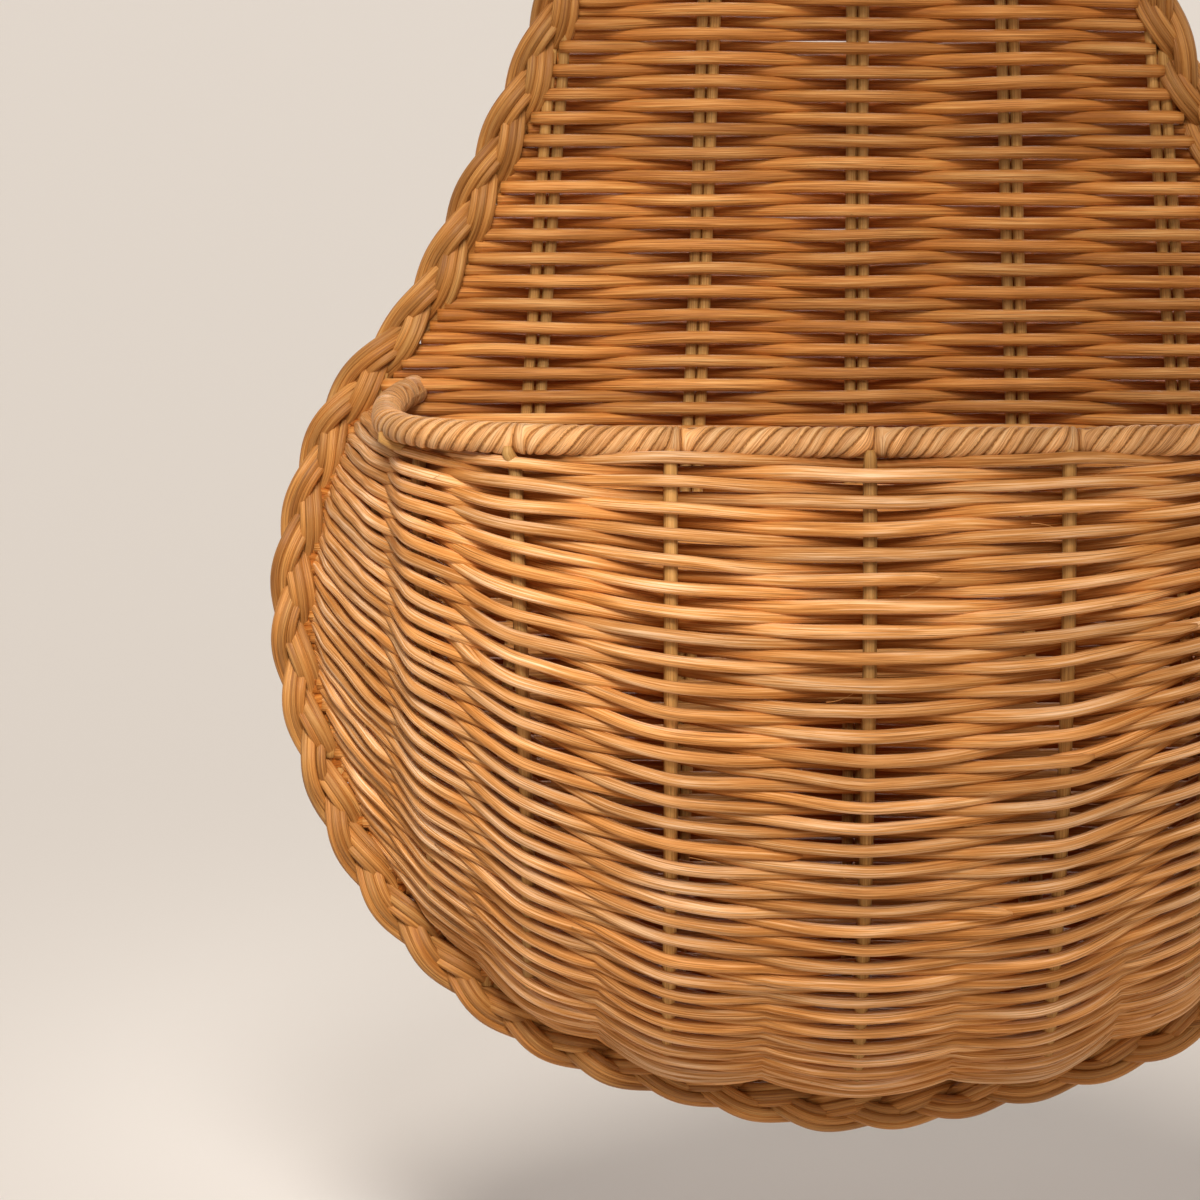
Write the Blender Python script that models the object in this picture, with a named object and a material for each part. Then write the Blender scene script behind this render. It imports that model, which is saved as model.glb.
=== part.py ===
"""Wall basket of woven rattan: a pear-shaped back panel with a plaited border and a round pocket.

Metres, +Z up. The front faces -Y and the wall is the plane y = 0. The origin is where the nail
bears in the hanging loop. Heights are counted up from the lowest point of the border's middle
line, and depths forward from the wall, and place() turns both into the frame.
"""

import math

import bmesh
import bpy
import numpy as np

# Reeds, rods and cane
WEAVER_REED = 0.0029  # one woven reed, through the panel
REEDS_PER_COURSE = 2  # reeds that lie side by side in one course
BACK_ROD = 0.0029
POCKET_ROD = 0.0034
LOOP_ROD = 0.0024
ROD_GAP = 0.0003  # between the two rods of a pair
GAP = 0.0003  # between pieces that touch
WEAVE_EASE = 0.0005  # extra room where a reed bends round a rod

# Back panel
PANEL_HALF_WIDTH = 0.1405
PANEL_HEIGHT = 0.341
BACK_REED_PITCH = 0.0029
BACK_STAKE_SPACING = 0.0402  # between pairs, at the height of the rim
BACK_STAKE_FAN_SHARE = 0.035  # how much the spacing grows on the way down, as a share of the way
BACK_PAIRS_EACH_SIDE = 3
BACK_FIRST_HALF_WIDTH = 0.015  # half the length of the lowest and the highest course
BACK_WEAVERS = 10

# Plaited border
BORDER_WIDTH = 0.0124
STRAND_WIDTH = 0.0045
STRAND_THICKNESS = 0.0026
STRAND_ROOM = 0.0005  # between two strands where they cross
STRAND_PLAITS = 20  # whole waves of a strand round the border

# Pocket
POCKET_DEPTH = 0.0968  # from the middle of the panel to the fullest place
POCKET_FULL_HEIGHT = 0.132  # height of the fullest place
POCKET_DROP = 0.130  # from the fullest place down to the bottom
POCKET_BELLY_POWER = 1.565
POCKET_FLOOR_EASE = 0.005  # how softly the belly levels out at the bottom
POCKET_MOUTH_LEAN = 0.0051  # how far the mouth stands back from the fullest place
RIM_HEIGHT = 0.178
RIM_END_RISE = 0.004
POCKET_TOP_POWER = 4.0  # squareness of the plan at the mouth
POCKET_BOTTOM_POWER = 3.4  # and at the bottom
POCKET_TOP_FLARE_SHARE = 0.10  # how far the side walls slant out to the border, as a share of a row's half width
POCKET_BOTTOM_FLARE_SHARE = 0.34
POCKET_FLARE_POWER = 1.3
POCKET_END_DROP = 0.005  # from the rim's middle line down to where the top course meets the border
POCKET_FIRST_HALF_WIDTH = 0.024  # half the length of the lowest course
ROW_CROWDING = 60.0  # how much closer the courses end towards the rim
ROW_CROWDING_SHARE = 0.215  # weight of the crowded spacing
ROW_SPACING_POWER = 1.4  # of the rest of the spacing
ROW_RISE_POWER = 2.45
POCKET_REED_PITCH = 0.00307
STAKE_END_ROOM = 0.012  # along the lowest course that a stake meets, from the stake to the border
ROW_END_ROOM = 0.0009  # from the back panel's front to the middle of a course at its end
POCKET_STAKES_EACH_SIDE = 5
POCKET_WEAVERS = 9

# Rim
RIM_DIAMETER = 0.0074
RIM_CORE = 0.0050
RIM_HALF_WIDTH = 0.1156
RIM_END_DRAW = 0.0056  # how far each end draws in towards the middle on its way to the panel
RIM_TURN_DEPTH = 0.036  # in front of the panel's middle, where the rim is widest
RIM_POWER = 3.6

# Hanging loop
LOOP_EYE_WIDTH = 0.0080
LOOP_EYE_HEIGHT = 0.0090  # clear height over the border
LOOP_SEAT = 0.0012  # room between the border, the loop and the top course

# Shares of the panel's half width and height, up the right side of the border
OUTLINE_SHARES = (
    (0.0, 0.0),
    (0.276, 0.018),
    (0.578, 0.061),
    (0.827, 0.156),
    (0.952, 0.259),
    (1.0, 0.376),
    (0.934, 0.501),
    (0.756, 0.603),
    (0.596, 0.743),
    (0.477, 0.865),
    (0.363, 0.936),
    (0.192, 0.983),
    (0.0, 1.0),
)
# Shares of half the mouth's length, from the middle to the side
POCKET_STAKE_SHARES = (0.0, 0.262, 0.472, 0.658, 0.822, 0.955)
# Corners of a strand's section, as shares of its width and thickness
STRAND_CORNER_SHARES = ((-0.5, 0.0), (-0.28, -0.5), (0.28, -0.5), (0.5, 0.0), (0.28, 0.5), (-0.28, 0.5))
COURSE_CORNER_SHARES = ((-0.5, -0.5), (0.5, -0.5), (0.5, 0.5), (-0.5, 0.5))

# Fineness
OUTLINE_STEPS = 24  # points on each span of the outline
STRAND_STEPS = 6  # points on each wave of a strand: each strand is two steps behind the next
ROW_STEPS = 160  # points that a row of the pocket is measured on
RIM_STEPS = 12
RIM_CURVE_STEPS = 96
RIM_PLACES = 121
LEAN_STEPS = 40
ARCH_STEPS = 7
STAKE_STEP = 4  # courses between two points of a stake
STAKE_FINE_COURSES = 9  # lowest courses, where a stake has a point on each
STAKE_TOP_SHARE = 0.2  # of a course, from the top of the wall down to a stake's last point on it
SEARCH_STEPS = 1200
TURN_STEPS = 61
SMALL_SHARE = 0.004  # step for a slope
SHARPEST_BEND = 65.0  # degrees by which a section is turned at most
SMOOTH_ANGLE = 50.0  # degrees above which an edge stays sharp
WELD_DISTANCE = 0.00001
TINY = 1e-12

# Sizes that follow from those above
RIM_RADIUS = RIM_DIAMETER / 2
BACK_REACH = BACK_ROD / 2 + WEAVE_EASE + GAP + WEAVER_REED / 2
POCKET_REACH = POCKET_ROD / 2 + WEAVE_EASE + GAP + WEAVER_REED / 2
STRAND_PEAK_SHARE = math.sin(math.pi / 3)  # how high a wave reaches at its own points
STRAND_SWING = (BORDER_WIDTH - STRAND_WIDTH) / 2 / STRAND_PEAK_SHARE
STRAND_RISE = (STRAND_THICKNESS + STRAND_ROOM) / STRAND_PEAK_SHARE
BORDER_BACK = LOOP_ROD + GAP
PANEL_MIDDLE = BORDER_BACK + STRAND_RISE * STRAND_PEAK_SHARE + STRAND_THICKNESS / 2
PANEL_FRONT = PANEL_MIDDLE + BACK_REACH + WEAVER_REED / 2
POCKET_FOOT = PANEL_FRONT + GAP + WEAVER_REED / 2
ROW_END_DEPTH = PANEL_FRONT + ROW_END_ROOM
BACK_COURSE = REEDS_PER_COURSE * BACK_REED_PITCH
POCKET_COURSE = REEDS_PER_COURSE * POCKET_REED_PITCH
LOOP_CENTRE_HEIGHT = PANEL_HEIGHT + BORDER_WIDTH / 2 + LOOP_EYE_HEIGHT
HANG_HEIGHT = LOOP_CENTRE_HEIGHT

FRONT = np.array((0.0, -1.0, 0.0))


def place(across, depth, height):
    """Points of the frame from places across, depths from the wall and heights over the border's bottom."""
    across, depth, height = np.broadcast_arrays(across, depth, height)
    return np.stack([across, -depth, height - HANG_HEIGHT], axis=-1)


def unit(vectors):
    return vectors / np.maximum(np.linalg.norm(vectors, axis=-1, keepdims=True), TINY)


def lengths_along(points):
    steps = np.linalg.norm(np.diff(points, axis=0), axis=1)
    return np.concatenate([[0.0], np.cumsum(steps)])


def at_length(points, length):
    """The places on a polyline at the given lengths from its start."""
    along = lengths_along(points)
    return np.stack([np.interp(length, along, column) for column in points.T], axis=-1)


# Outline of the border


def outline():
    """A closed Catmull-Rom curve through the outline's points, as places across and heights, from the bottom."""
    right = np.array(OUTLINE_SHARES) * (PANEL_HALF_WIDTH, PANEL_HEIGHT)
    left = right[-2:0:-1] * (-1, 1)
    knots = np.concatenate([right, left])
    t = np.linspace(0, 1, OUTLINE_STEPS, endpoint=False)[:, None]
    spans = []
    for i in range(len(knots)):
        a, b, c, d = (knots[(i + k - 1) % len(knots)] for k in range(4))
        spans.append(
            b + t * (c - a) / 2 + t**2 * (a - 5 * b / 2 + 2 * c - d / 2) + t**3 * (3 * (b - c) + d - a) / 2
        )
    return np.concatenate(spans)


def outward(points):
    """The directions that point out of a closed curve that runs anticlockwise."""
    along = unit(np.roll(points, -1, axis=0) - np.roll(points, 1, axis=0))
    return np.stack([along[:, 1], -along[:, 0]], axis=-1)


BORDER_LINE = outline()


def side_line(inset):
    """The right half of the outline moved inwards, from its bottom to its top, as places across and heights."""
    points = BORDER_LINE - outward(BORDER_LINE) * inset
    half = points[: (len(OUTLINE_SHARES) - 1) * OUTLINE_STEPS + 1].copy()
    half[0, 0] = half[-1, 0] = 0
    return half


def half_width(line, height):
    return float(np.interp(height, line[:, 1], line[:, 0], left=0, right=0))


# Making objects

PARTS = bpy.data.collections.new("rattan_basket")
CUTTERS = bpy.data.collections.new("cutters")


def clear_scene():
    for obj in list(bpy.data.objects):
        bpy.data.objects.remove(obj, do_unlink=True)
    for collection in (PARTS, CUTTERS):
        bpy.context.scene.collection.children.link(collection)


def material(name, colour, roughness):
    made = bpy.data.materials.new(name)
    made.use_nodes = True
    shader = made.node_tree.nodes["Principled BSDF"]
    shader.inputs["Base Color"].default_value = (*colour, 1)
    shader.inputs["Roughness"].default_value = roughness
    shader.inputs["Metallic"].default_value = 0
    return made


def mesh_object(name, points, faces, finish, smooth_angle):
    """A mesh object from points and faces, with its faces turned outwards."""
    mesh = bpy.data.meshes.new(name)
    mesh.from_pydata(points.tolist(), [], faces)
    shell = bmesh.new()
    shell.from_mesh(mesh)
    bmesh.ops.recalc_face_normals(shell, faces=shell.faces)
    shell.to_mesh(mesh)
    shell.free()
    mesh.materials.append(finish)
    mesh.shade_smooth()
    mesh.set_sharp_from_angle(angle=smooth_angle)
    obj = bpy.data.objects.new(name, mesh)
    PARTS.objects.link(obj)
    return obj


def swept(name, points, normals, widths, thickness, corner_shares, finish, closed=False):
    """A profile carried along a path: its thickness stays on the normals and its width square to them.

    Each section lies in the plane that halves the bend at its point, and is stretched there so
    that the strip keeps its width on both sides of the bend.
    """
    if closed:
        before, after = np.roll(points, 1, axis=0), np.roll(points, -1, axis=0)
    else:
        before = np.concatenate([[2 * points[0] - points[1]], points[:-1]])
        after = np.concatenate([points[1:], [2 * points[-1] - points[-2]]])
    arriving, leaving = unit(points - before), unit(after - points)
    along = unit(arriving + leaving)
    across = unit(np.cross(normals, along))
    straight = unit(np.cross(normals, leaving))
    stretch = 1 / np.maximum(np.sum(across * straight, axis=1), math.cos(math.radians(SHARPEST_BEND)))
    through = unit(np.cross(along, across))
    corners = np.array(corner_shares)
    rings = (
        points[:, None]
        + across[:, None] * (corners[None, :, 0:1] * (widths * stretch)[:, None, None])
        + through[:, None] * (corners[None, :, 1:2] * thickness)
    )
    count, sides = rings.shape[:2]
    faces = []
    for i in range(count if closed else count - 1):
        here, there = i * sides, (i + 1) % count * sides
        faces += [(here + k, here + (k + 1) % sides, there + (k + 1) % sides, there + k) for k in range(sides)]
    if not closed:
        faces.append(tuple(range(sides)))
        faces.append(tuple(range((count - 1) * sides, count * sides)))
    return mesh_object(name, rings.reshape(-1, 3), faces, finish, math.radians(SMOOTH_ANGLE))


def rod(name, points, diameter, finish, collection, resolution=1, closed=False):
    """A round rod along a polyline, as a bevelled curve with filled caps."""
    curve = bpy.data.curves.new(name, "CURVE")
    curve.dimensions = "3D"
    curve.bevel_depth = diameter / 2
    curve.bevel_resolution = resolution
    curve.use_fill_caps = not closed
    spline = curve.splines.new("POLY")
    spline.points.add(len(points) - 1)
    spline.points.foreach_set("co", np.column_stack([points, np.ones(len(points))]).ravel())
    spline.use_cyclic_u = closed
    spline.use_smooth = True
    curve.materials.append(finish)
    obj = bpy.data.objects.new(name, curve)
    collection.objects.link(obj)
    return obj


def as_mesh(obj):
    """The same object as a mesh with its caps welded."""
    bpy.context.view_layer.update()
    evaluated = obj.evaluated_get(bpy.context.evaluated_depsgraph_get())
    mesh = bpy.data.meshes.new_from_object(evaluated)
    shell = bmesh.new()
    shell.from_mesh(mesh)
    bmesh.ops.remove_doubles(shell, verts=shell.verts, dist=WELD_DISTANCE)
    bmesh.ops.recalc_face_normals(shell, faces=shell.faces)
    shell.to_mesh(mesh)
    shell.free()
    name, collection, matrix = obj.name, obj.users_collection[0], obj.matrix_world.copy()
    bpy.data.objects.remove(obj, do_unlink=True)
    made = bpy.data.objects.new(name, mesh)
    made.matrix_world = matrix
    collection.objects.link(made)
    return made


# Plaited border


def border_strands(finish):
    """Three strands that swing across the border and climb over and under each other a third of a wave apart."""
    closed_line = np.concatenate([BORDER_LINE, BORDER_LINE[:1]])
    around = lengths_along(closed_line)[-1]
    count = STRAND_PLAITS * STRAND_STEPS
    middle = at_length(closed_line, np.linspace(0, around, count, endpoint=False))
    out = outward(middle)
    wave = np.linspace(0, 2 * math.pi * STRAND_PLAITS, count, endpoint=False)
    for strand in range(3):
        turn = wave + 2 * math.pi * strand / 3
        line = middle + out * (STRAND_SWING * np.sin(turn))[:, None]
        depth = PANEL_MIDDLE + STRAND_RISE * np.sin(2 * turn)
        points = place(line[:, 0], depth, line[:, 1])
        normals = np.tile(FRONT, (count, 1))
        widths = np.full(count, STRAND_WIDTH)
        swept(
            f"border_strand_{strand + 1}", points, normals, widths, STRAND_THICKNESS,
            STRAND_CORNER_SHARES, finish, closed=True,
        )


# Back panel

BORDER_INSIDE = side_line(BORDER_WIDTH / 2 + GAP)
BACK_TURN_LINE = side_line(BORDER_WIDTH / 2 + 2 * GAP + BACK_COURSE / 2)
TOP_COURSE_LIMIT = PANEL_HEIGHT - BORDER_WIDTH / 2 - LOOP_ROD - 2 * LOOP_SEAT


def back_pair_across(pair, height):
    return pair * (BACK_STAKE_SPACING + BACK_STAKE_FAN_SHARE * (RIM_HEIGHT - height))


def back_stakes(finish):
    """Rods in pairs, each from border to border, fanning out a little towards the bottom."""
    heights = np.linspace(0, PANEL_HEIGHT, SEARCH_STEPS)
    limit = np.interp(heights, BORDER_INSIDE[:, 1], BORDER_INSIDE[:, 0], left=0, right=0)
    number = 0
    for pair in range(-BACK_PAIRS_EACH_SIDE, BACK_PAIRS_EACH_SIDE + 1):
        for side in (-1, 1):
            number += 1
            across = back_pair_across(pair, heights) + side * (BACK_ROD + ROD_GAP) / 2
            inside = heights[np.abs(across) + BACK_ROD / 2 < limit - GAP]
            ends = np.array((inside[0], inside[-1]))
            across_ends = back_pair_across(pair, ends) + side * (BACK_ROD + ROD_GAP) / 2
            rod(f"back_stake_{number:02d}", place(across_ends, PANEL_MIDDLE, ends), BACK_ROD, finish, PARTS)


def back_limit(*heights):
    """How far across back courses at these heights can turn together: inside the border and clear of stakes."""
    half = BACK_COURSE / 2
    limit = min(half_width(BACK_TURN_LINE, height + step) for height in heights for step in (-half, 0, half))
    room = BACK_ROD + ROD_GAP / 2 + WEAVE_EASE + half
    for pair in range(BACK_PAIRS_EACH_SIDE, 0, -1):
        nearest = min(back_pair_across(pair, height) for height in heights)
        farthest = max(back_pair_across(pair, height) for height in heights)
        if nearest - room < limit < farthest + room + 2 * BACK_ROD:
            limit = nearest - room
    return limit


def back_courses():
    """(heights of the back courses from the lowest, spacing): they fill the panel as far as it is wide enough."""
    bottom, top = BACK_TURN_LINE[: 2 * OUTLINE_STEPS], BACK_TURN_LINE[: -2 * OUTLINE_STEPS : -1]
    lowest, highest = (float(np.interp(BACK_FIRST_HALF_WIDTH, *line.T)) for line in (bottom, top))
    highest = min(highest, TOP_COURSE_LIMIT)
    count = round((highest - lowest) / BACK_COURSE)
    spacing = (highest - lowest) / count
    return lowest + spacing * (np.arange(count) + 0.5), spacing


def back_weavers(finish):
    """Reeds that run to and fro between the stake pairs, several courses each, turning back at the border."""
    heights, spacing = back_courses()
    for number, courses in enumerate(np.array_split(np.arange(len(heights)), BACK_WEAVERS), start=1):
        first, last = courses[0], courses[-1]
        points = []
        for course in courses:
            heading = 1 if (course - first) % 2 == 0 else -1
            starts = back_limit(*heights[max(course - 1, first) : course + 1])
            stops = back_limit(*heights[course : min(course + 1, last) + 1])
            ends = (stops, starts) if heading < 0 else (starts, stops)
            line = [(-ends[0], 0.0), (ends[1], 0.0)]
            for pair in range(-BACK_PAIRS_EACH_SIDE, BACK_PAIRS_EACH_SIDE + 1):
                across = back_pair_across(pair, heights[course])
                if -ends[0] < across < ends[1]:
                    line.append((across, BACK_REACH * (-1) ** (pair + course)))
            line.sort(key=lambda spot: heading * spot[0])
            points += [place(across, PANEL_MIDDLE + reach, heights[course]) for across, reach in line]
        points = np.array(points)
        normals = np.tile(FRONT, (len(points), 1))
        widths = np.full(len(points), spacing - GAP)
        swept(f"back_weaver_{number:02d}", points, normals, widths, WEAVER_REED, COURSE_CORNER_SHARES, finish)


# Pocket surface


def centre_line():
    """The pocket's section at its middle: depths and heights, from the panel round the belly to the mouth.

    Below the fullest place it is a superellipse that levels out over the border's upper edge, and
    above it the wall leans back by the square of the height.
    """
    floor = BORDER_WIDTH / 2 + WEAVER_REED / 2
    turn = np.linspace(math.pi / 2, 0, ROW_STEPS)
    depth = POCKET_DEPTH * np.abs(np.cos(turn)) ** (2 / POCKET_BELLY_POWER)
    height = POCKET_FULL_HEIGHT - POCKET_DROP * np.abs(np.sin(turn)) ** (2 / POCKET_BELLY_POWER)
    top = RIM_HEIGHT - RIM_RADIUS - GAP
    upper = np.linspace(POCKET_FULL_HEIGHT, top, LEAN_STEPS)[1:]
    lean = POCKET_MOUTH_LEAN * ((upper - POCKET_FULL_HEIGHT) / (RIM_HEIGHT - POCKET_FULL_HEIGHT)) ** 2
    depth = PANEL_MIDDLE + np.concatenate([depth, POCKET_DEPTH - lean])
    over = np.concatenate([height, upper]) - floor
    height = floor + (over + np.hypot(over, POCKET_FLOOR_EASE)) / 2
    kept = depth > POCKET_FOOT
    return np.column_stack([depth[kept], height[kept]])


def end_line():
    """The line beside the border where the courses of the pocket end, from the lowest to the highest."""
    line = side_line(BORDER_WIDTH / 2 + 2 * GAP + POCKET_COURSE / 2)
    across, height = line.T
    kept = (height < RIM_HEIGHT - POCKET_END_DROP) & (across > POCKET_FIRST_HALF_WIDTH)
    return line[kept]


CENTRE_LINE = centre_line()
END_LINE = end_line()
CENTRE_LENGTH = lengths_along(CENTRE_LINE)[-1]
END_LENGTH = lengths_along(END_LINE)[-1]


def pocket_row(level):
    """One row of the pocket's surface from its middle to its right end, by its level from 0 at the bottom to 1.

    In plan it is a quarter of a superellipse that flares out to the border, and it rises from the
    middle to the end by a power of the place across.
    """
    depth, height = at_length(CENTRE_LINE, level * CENTRE_LENGTH)
    crowded = ROW_CROWDING_SHARE * math.log(1 + ROW_CROWDING * level)
    rest_share = 1 - ROW_CROWDING_SHARE * math.log(1 + ROW_CROWDING)
    end_across, end_height = at_length(END_LINE, (crowded + rest_share * level**ROW_SPACING_POWER) * END_LENGTH)
    power = POCKET_BOTTOM_POWER + (POCKET_TOP_POWER - POCKET_BOTTOM_POWER) * level
    turn = np.linspace(0, math.pi / 2, ROW_STEPS)
    forward = np.abs(np.cos(turn)) ** (2 / power)
    flare_share = POCKET_BOTTOM_FLARE_SHARE + (POCKET_TOP_FLARE_SHARE - POCKET_BOTTOM_FLARE_SHARE) * level
    flare = end_across * flare_share
    across = (end_across - flare) * np.sin(turn) ** (2 / power) + flare * (1 - forward) ** POCKET_FLARE_POWER
    heights = height + (end_height - height) * (across / end_across) ** ROW_RISE_POWER
    return place(across, ROW_END_DEPTH + (depth - ROW_END_DEPTH) * forward, heights)


def row_length(level):
    return lengths_along(pocket_row(level))[-1]


def pocket_point(level, share):
    """A point of the pocket's surface, by its level and its share of the row's half length, negative on the left."""
    row = pocket_row(min(max(level, 0.0), 1.0))
    point = at_length(row, abs(share) * lengths_along(row)[-1])
    return point * (math.copysign(1, share), 1, 1)


def pocket_frame(level, share):
    """(point, outward normal, spacing of a whole level square to the row) of the pocket's surface."""
    low, high = max(level - SMALL_SHARE, 0), min(level + SMALL_SHARE, 1)
    left, right = max(share - SMALL_SHARE, -1), min(share + SMALL_SHARE, 1)
    up = (pocket_point(high, share) - pocket_point(low, share)) / (high - low)
    along = unit(pocket_point(level, right) - pocket_point(level, left))
    square = up - along * np.dot(up, along)
    return pocket_point(level, share), unit(np.cross(along, up)), float(np.linalg.norm(square))


def course_level(course):
    return (course + 0.5) / POCKET_COURSES


POCKET_COURSES = int(CENTRE_LENGTH / POCKET_COURSE)
ROW_LENGTHS = [row_length(course_level(course)) for course in range(POCKET_COURSES)]
TOP_ROW_LENGTH = row_length(1.0)
POCKET_STAKE_LENGTHS = [share * TOP_ROW_LENGTH for share in POCKET_STAKE_SHARES]


def first_course(length):
    """The lowest course that a stake at this length from the middle meets: it runs far enough past the stake."""
    needed = min(length + STAKE_END_ROOM, max(ROW_LENGTHS))
    return next(course for course, row in enumerate(ROW_LENGTHS) if row >= needed)


FIRST_COURSES = [first_course(length) for length in POCKET_STAKE_LENGTHS]


def stakes_on(course):
    """The lengths from the middle of the side stakes that this course meets, nearest first."""
    return [
        length for length, first in zip(POCKET_STAKE_LENGTHS[1:], FIRST_COURSES[1:]) if course >= first
    ]


def clear_of_stakes(courses, ends):
    """The same ends, in lengths from the middle, cut back before any stake that they fall on or part at."""
    room = (POCKET_ROD + POCKET_COURSE) / 2 + WEAVE_EASE
    for stake in max((stakes_on(course) for course in courses), key=len)[::-1]:
        if min(ends[course] for course in courses) < stake + room + POCKET_ROD:
            for course in courses:
                ends[course] = min(ends[course], stake - room - 2 * WEAVE_EASE)
    return ends


def free_end(course):
    return clear_of_stakes([course], {course: ROW_LENGTHS[course]})[course]


def turn_ends(courses, side):
    """How far along neighbouring courses a reed turns squarely from one to the other, in lengths from the middle."""
    lengths = {course: ROW_LENGTHS[course] for course in courses}
    ends = clear_of_stakes(courses, dict(lengths))
    for here, there in (courses, courses[::-1]) * 2:
        end = pocket_point(course_level(here), side * ends[here] / lengths[here])
        tries = np.linspace(ends[there] / 2, ends[there], TURN_STEPS)
        row = np.array([pocket_point(course_level(there), side * place / lengths[there]) for place in tries])
        ends[there] = float(tries[np.argmin(np.linalg.norm(row - end, axis=1))])
        ends = clear_of_stakes(courses, ends)
    return [ends[course] for course in courses]


def course_spots(course, left_end, right_end):
    """(length from the middle, reach off the surface) along a course: over and under the stakes in turn.

    Where the wall turns away to the side, each span has a place between its ends as well.
    """
    spots = [(-left_end, 0.0), (right_end, 0.0)]
    for stake in range(-POCKET_STAKES_EACH_SIDE, POCKET_STAKES_EACH_SIDE + 1):
        length = math.copysign(POCKET_STAKE_LENGTHS[abs(stake)], stake)
        if course >= FIRST_COURSES[abs(stake)] and -left_end < length < right_end:
            spots.append((length, POCKET_REACH * (-1) ** (stake + course)))
    spots.sort()
    between = [
        ((a[0] + b[0]) / 2, (a[1] + b[1]) / 2)
        for a, b in zip(spots, spots[1:])
        if max(-a[0], b[0]) > POCKET_STAKE_LENGTHS[1] + POCKET_COURSE
    ]
    return sorted(spots + between)


def pocket_weavers(finish):
    """Reeds that run to and fro round the pocket between its stakes, several courses each."""
    for number, courses in enumerate(np.array_split(np.arange(POCKET_COURSES), POCKET_WEAVERS), start=1):
        first = courses[0]
        ends = {course: [free_end(course)] * 2 for course in courses}
        for course in courses[:-1]:
            right = (course - first + 1) % 2
            ends[course][right], ends[course + 1][right] = turn_ends((course, course + 1), 2 * right - 1)
        points, normals, widths = [], [], []
        for course in courses:
            level = course_level(course)
            spots = course_spots(course, *ends[course])
            for length, reach in spots if (course - first) % 2 == 0 else spots[::-1]:
                point, normal, spacing = pocket_frame(level, length / ROW_LENGTHS[course])
                points.append(point + normal * reach)
                normals.append(normal)
                widths.append(spacing / POCKET_COURSES - 2 * GAP)
        swept(
            f"pocket_weaver_{number:02d}", np.array(points), np.array(normals), np.array(widths),
            WEAVER_REED, COURSE_CORNER_SHARES, finish,
        )


# Rim


def rim_line():
    """Right half of the rim from the middle of the front to its end at the panel.

    In plan it is a quarter of a superellipse as far as its widest place, and from there a curve
    that draws in to the panel. It rises a little on its way.
    """
    turn = np.linspace(0, math.pi / 2, RIM_CURVE_STEPS)
    front = POCKET_DEPTH - POCKET_MOUTH_LEAN
    across = RIM_HALF_WIDTH * np.sin(turn) ** (2 / RIM_POWER)
    depth = RIM_TURN_DEPTH + (front - RIM_TURN_DEPTH) * np.abs(np.cos(turn)) ** (2 / RIM_POWER)
    foot = POCKET_FOOT - PANEL_MIDDLE
    back = np.linspace(0, 1, RIM_STEPS)[1:]
    across = np.concatenate([across, RIM_HALF_WIDTH - RIM_END_DRAW * back**2])
    depth = PANEL_MIDDLE + np.concatenate([depth, RIM_TURN_DEPTH + (foot - RIM_TURN_DEPTH) * back])
    line = place(across, depth, RIM_HEIGHT)
    share = lengths_along(line) / lengths_along(line)[-1]
    line[:, 2] += RIM_END_RISE * share**3
    return line


RIM_LINE = rim_line()
RIM_HALF_LENGTH = lengths_along(RIM_LINE)[-1]


def rim_point(share):
    point = at_length(RIM_LINE, abs(share) * RIM_HALF_LENGTH)
    return point * (math.copysign(1, share), 1, 1)


def rim(core_finish, binding_finish):
    """A bent core under a wrapping of cane, which is a thin sleeve round it."""
    shares = np.linspace(-1, 1, 2 * RIM_STEPS + 1)
    line = np.array([rim_point(share) for share in shares])
    rod("rim_core", line, RIM_CORE, core_finish, PARTS, resolution=2)
    past = np.concatenate([[line[0] + (line[0] - line[1]) / 2], line, [line[-1] + (line[-1] - line[-2]) / 2]])
    bore = as_mesh(rod("rim_binding_bore", past, RIM_CORE + 2 * GAP, core_finish, CUTTERS, resolution=2))
    bore.hide_render = True
    bore.display_type = "WIRE"
    sleeve = as_mesh(rod("rim_binding", line, RIM_DIAMETER, binding_finish, PARTS, resolution=2))
    cut = sleeve.modifiers.new("bore", "BOOLEAN")
    cut.operation = "DIFFERENCE"
    cut.object = bore


def pocket_stakes(finish):
    """Rods from beside the border, up the pocket's wall to just under the rim."""
    rim_places = np.array([rim_point(share) for share in np.linspace(0, 1, RIM_PLACES)])
    stand_off = RIM_RADIUS + GAP + WEAVE_EASE
    last_level = 1 - STAKE_TOP_SHARE / POCKET_COURSES
    for stake in range(-POCKET_STAKES_EACH_SIDE, POCKET_STAKES_EACH_SIDE + 1):
        side = math.copysign(1, stake)
        length = POCKET_STAKE_LENGTHS[abs(stake)]
        points = []
        for course in range(POCKET_COURSES):
            needed = course % STAKE_STEP == 0 or course < STAKE_FINE_COURSES
            if needed and course >= FIRST_COURSES[abs(stake)]:
                points.append(pocket_point(course_level(course), side * length / ROW_LENGTHS[course]))
        points.append(pocket_point(last_level, side * length / row_length(last_level)))
        top = pocket_point(1.0, side * length / TOP_ROW_LENGTH)
        seat = rim_places * (side, 1, 1)
        seat = seat[np.argmin(np.linalg.norm(seat - top, axis=1))]
        if np.linalg.norm(seat - top) > stand_off + POCKET_ROD:
            points.append(top)
        points.append(seat - unit(seat - points[-1]) * stand_off)
        name = f"pocket_stake_{stake + POCKET_STAKES_EACH_SIDE + 1:02d}"
        rod(name, np.array(points), POCKET_ROD, finish, PARTS)


# Hanging loop


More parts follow.
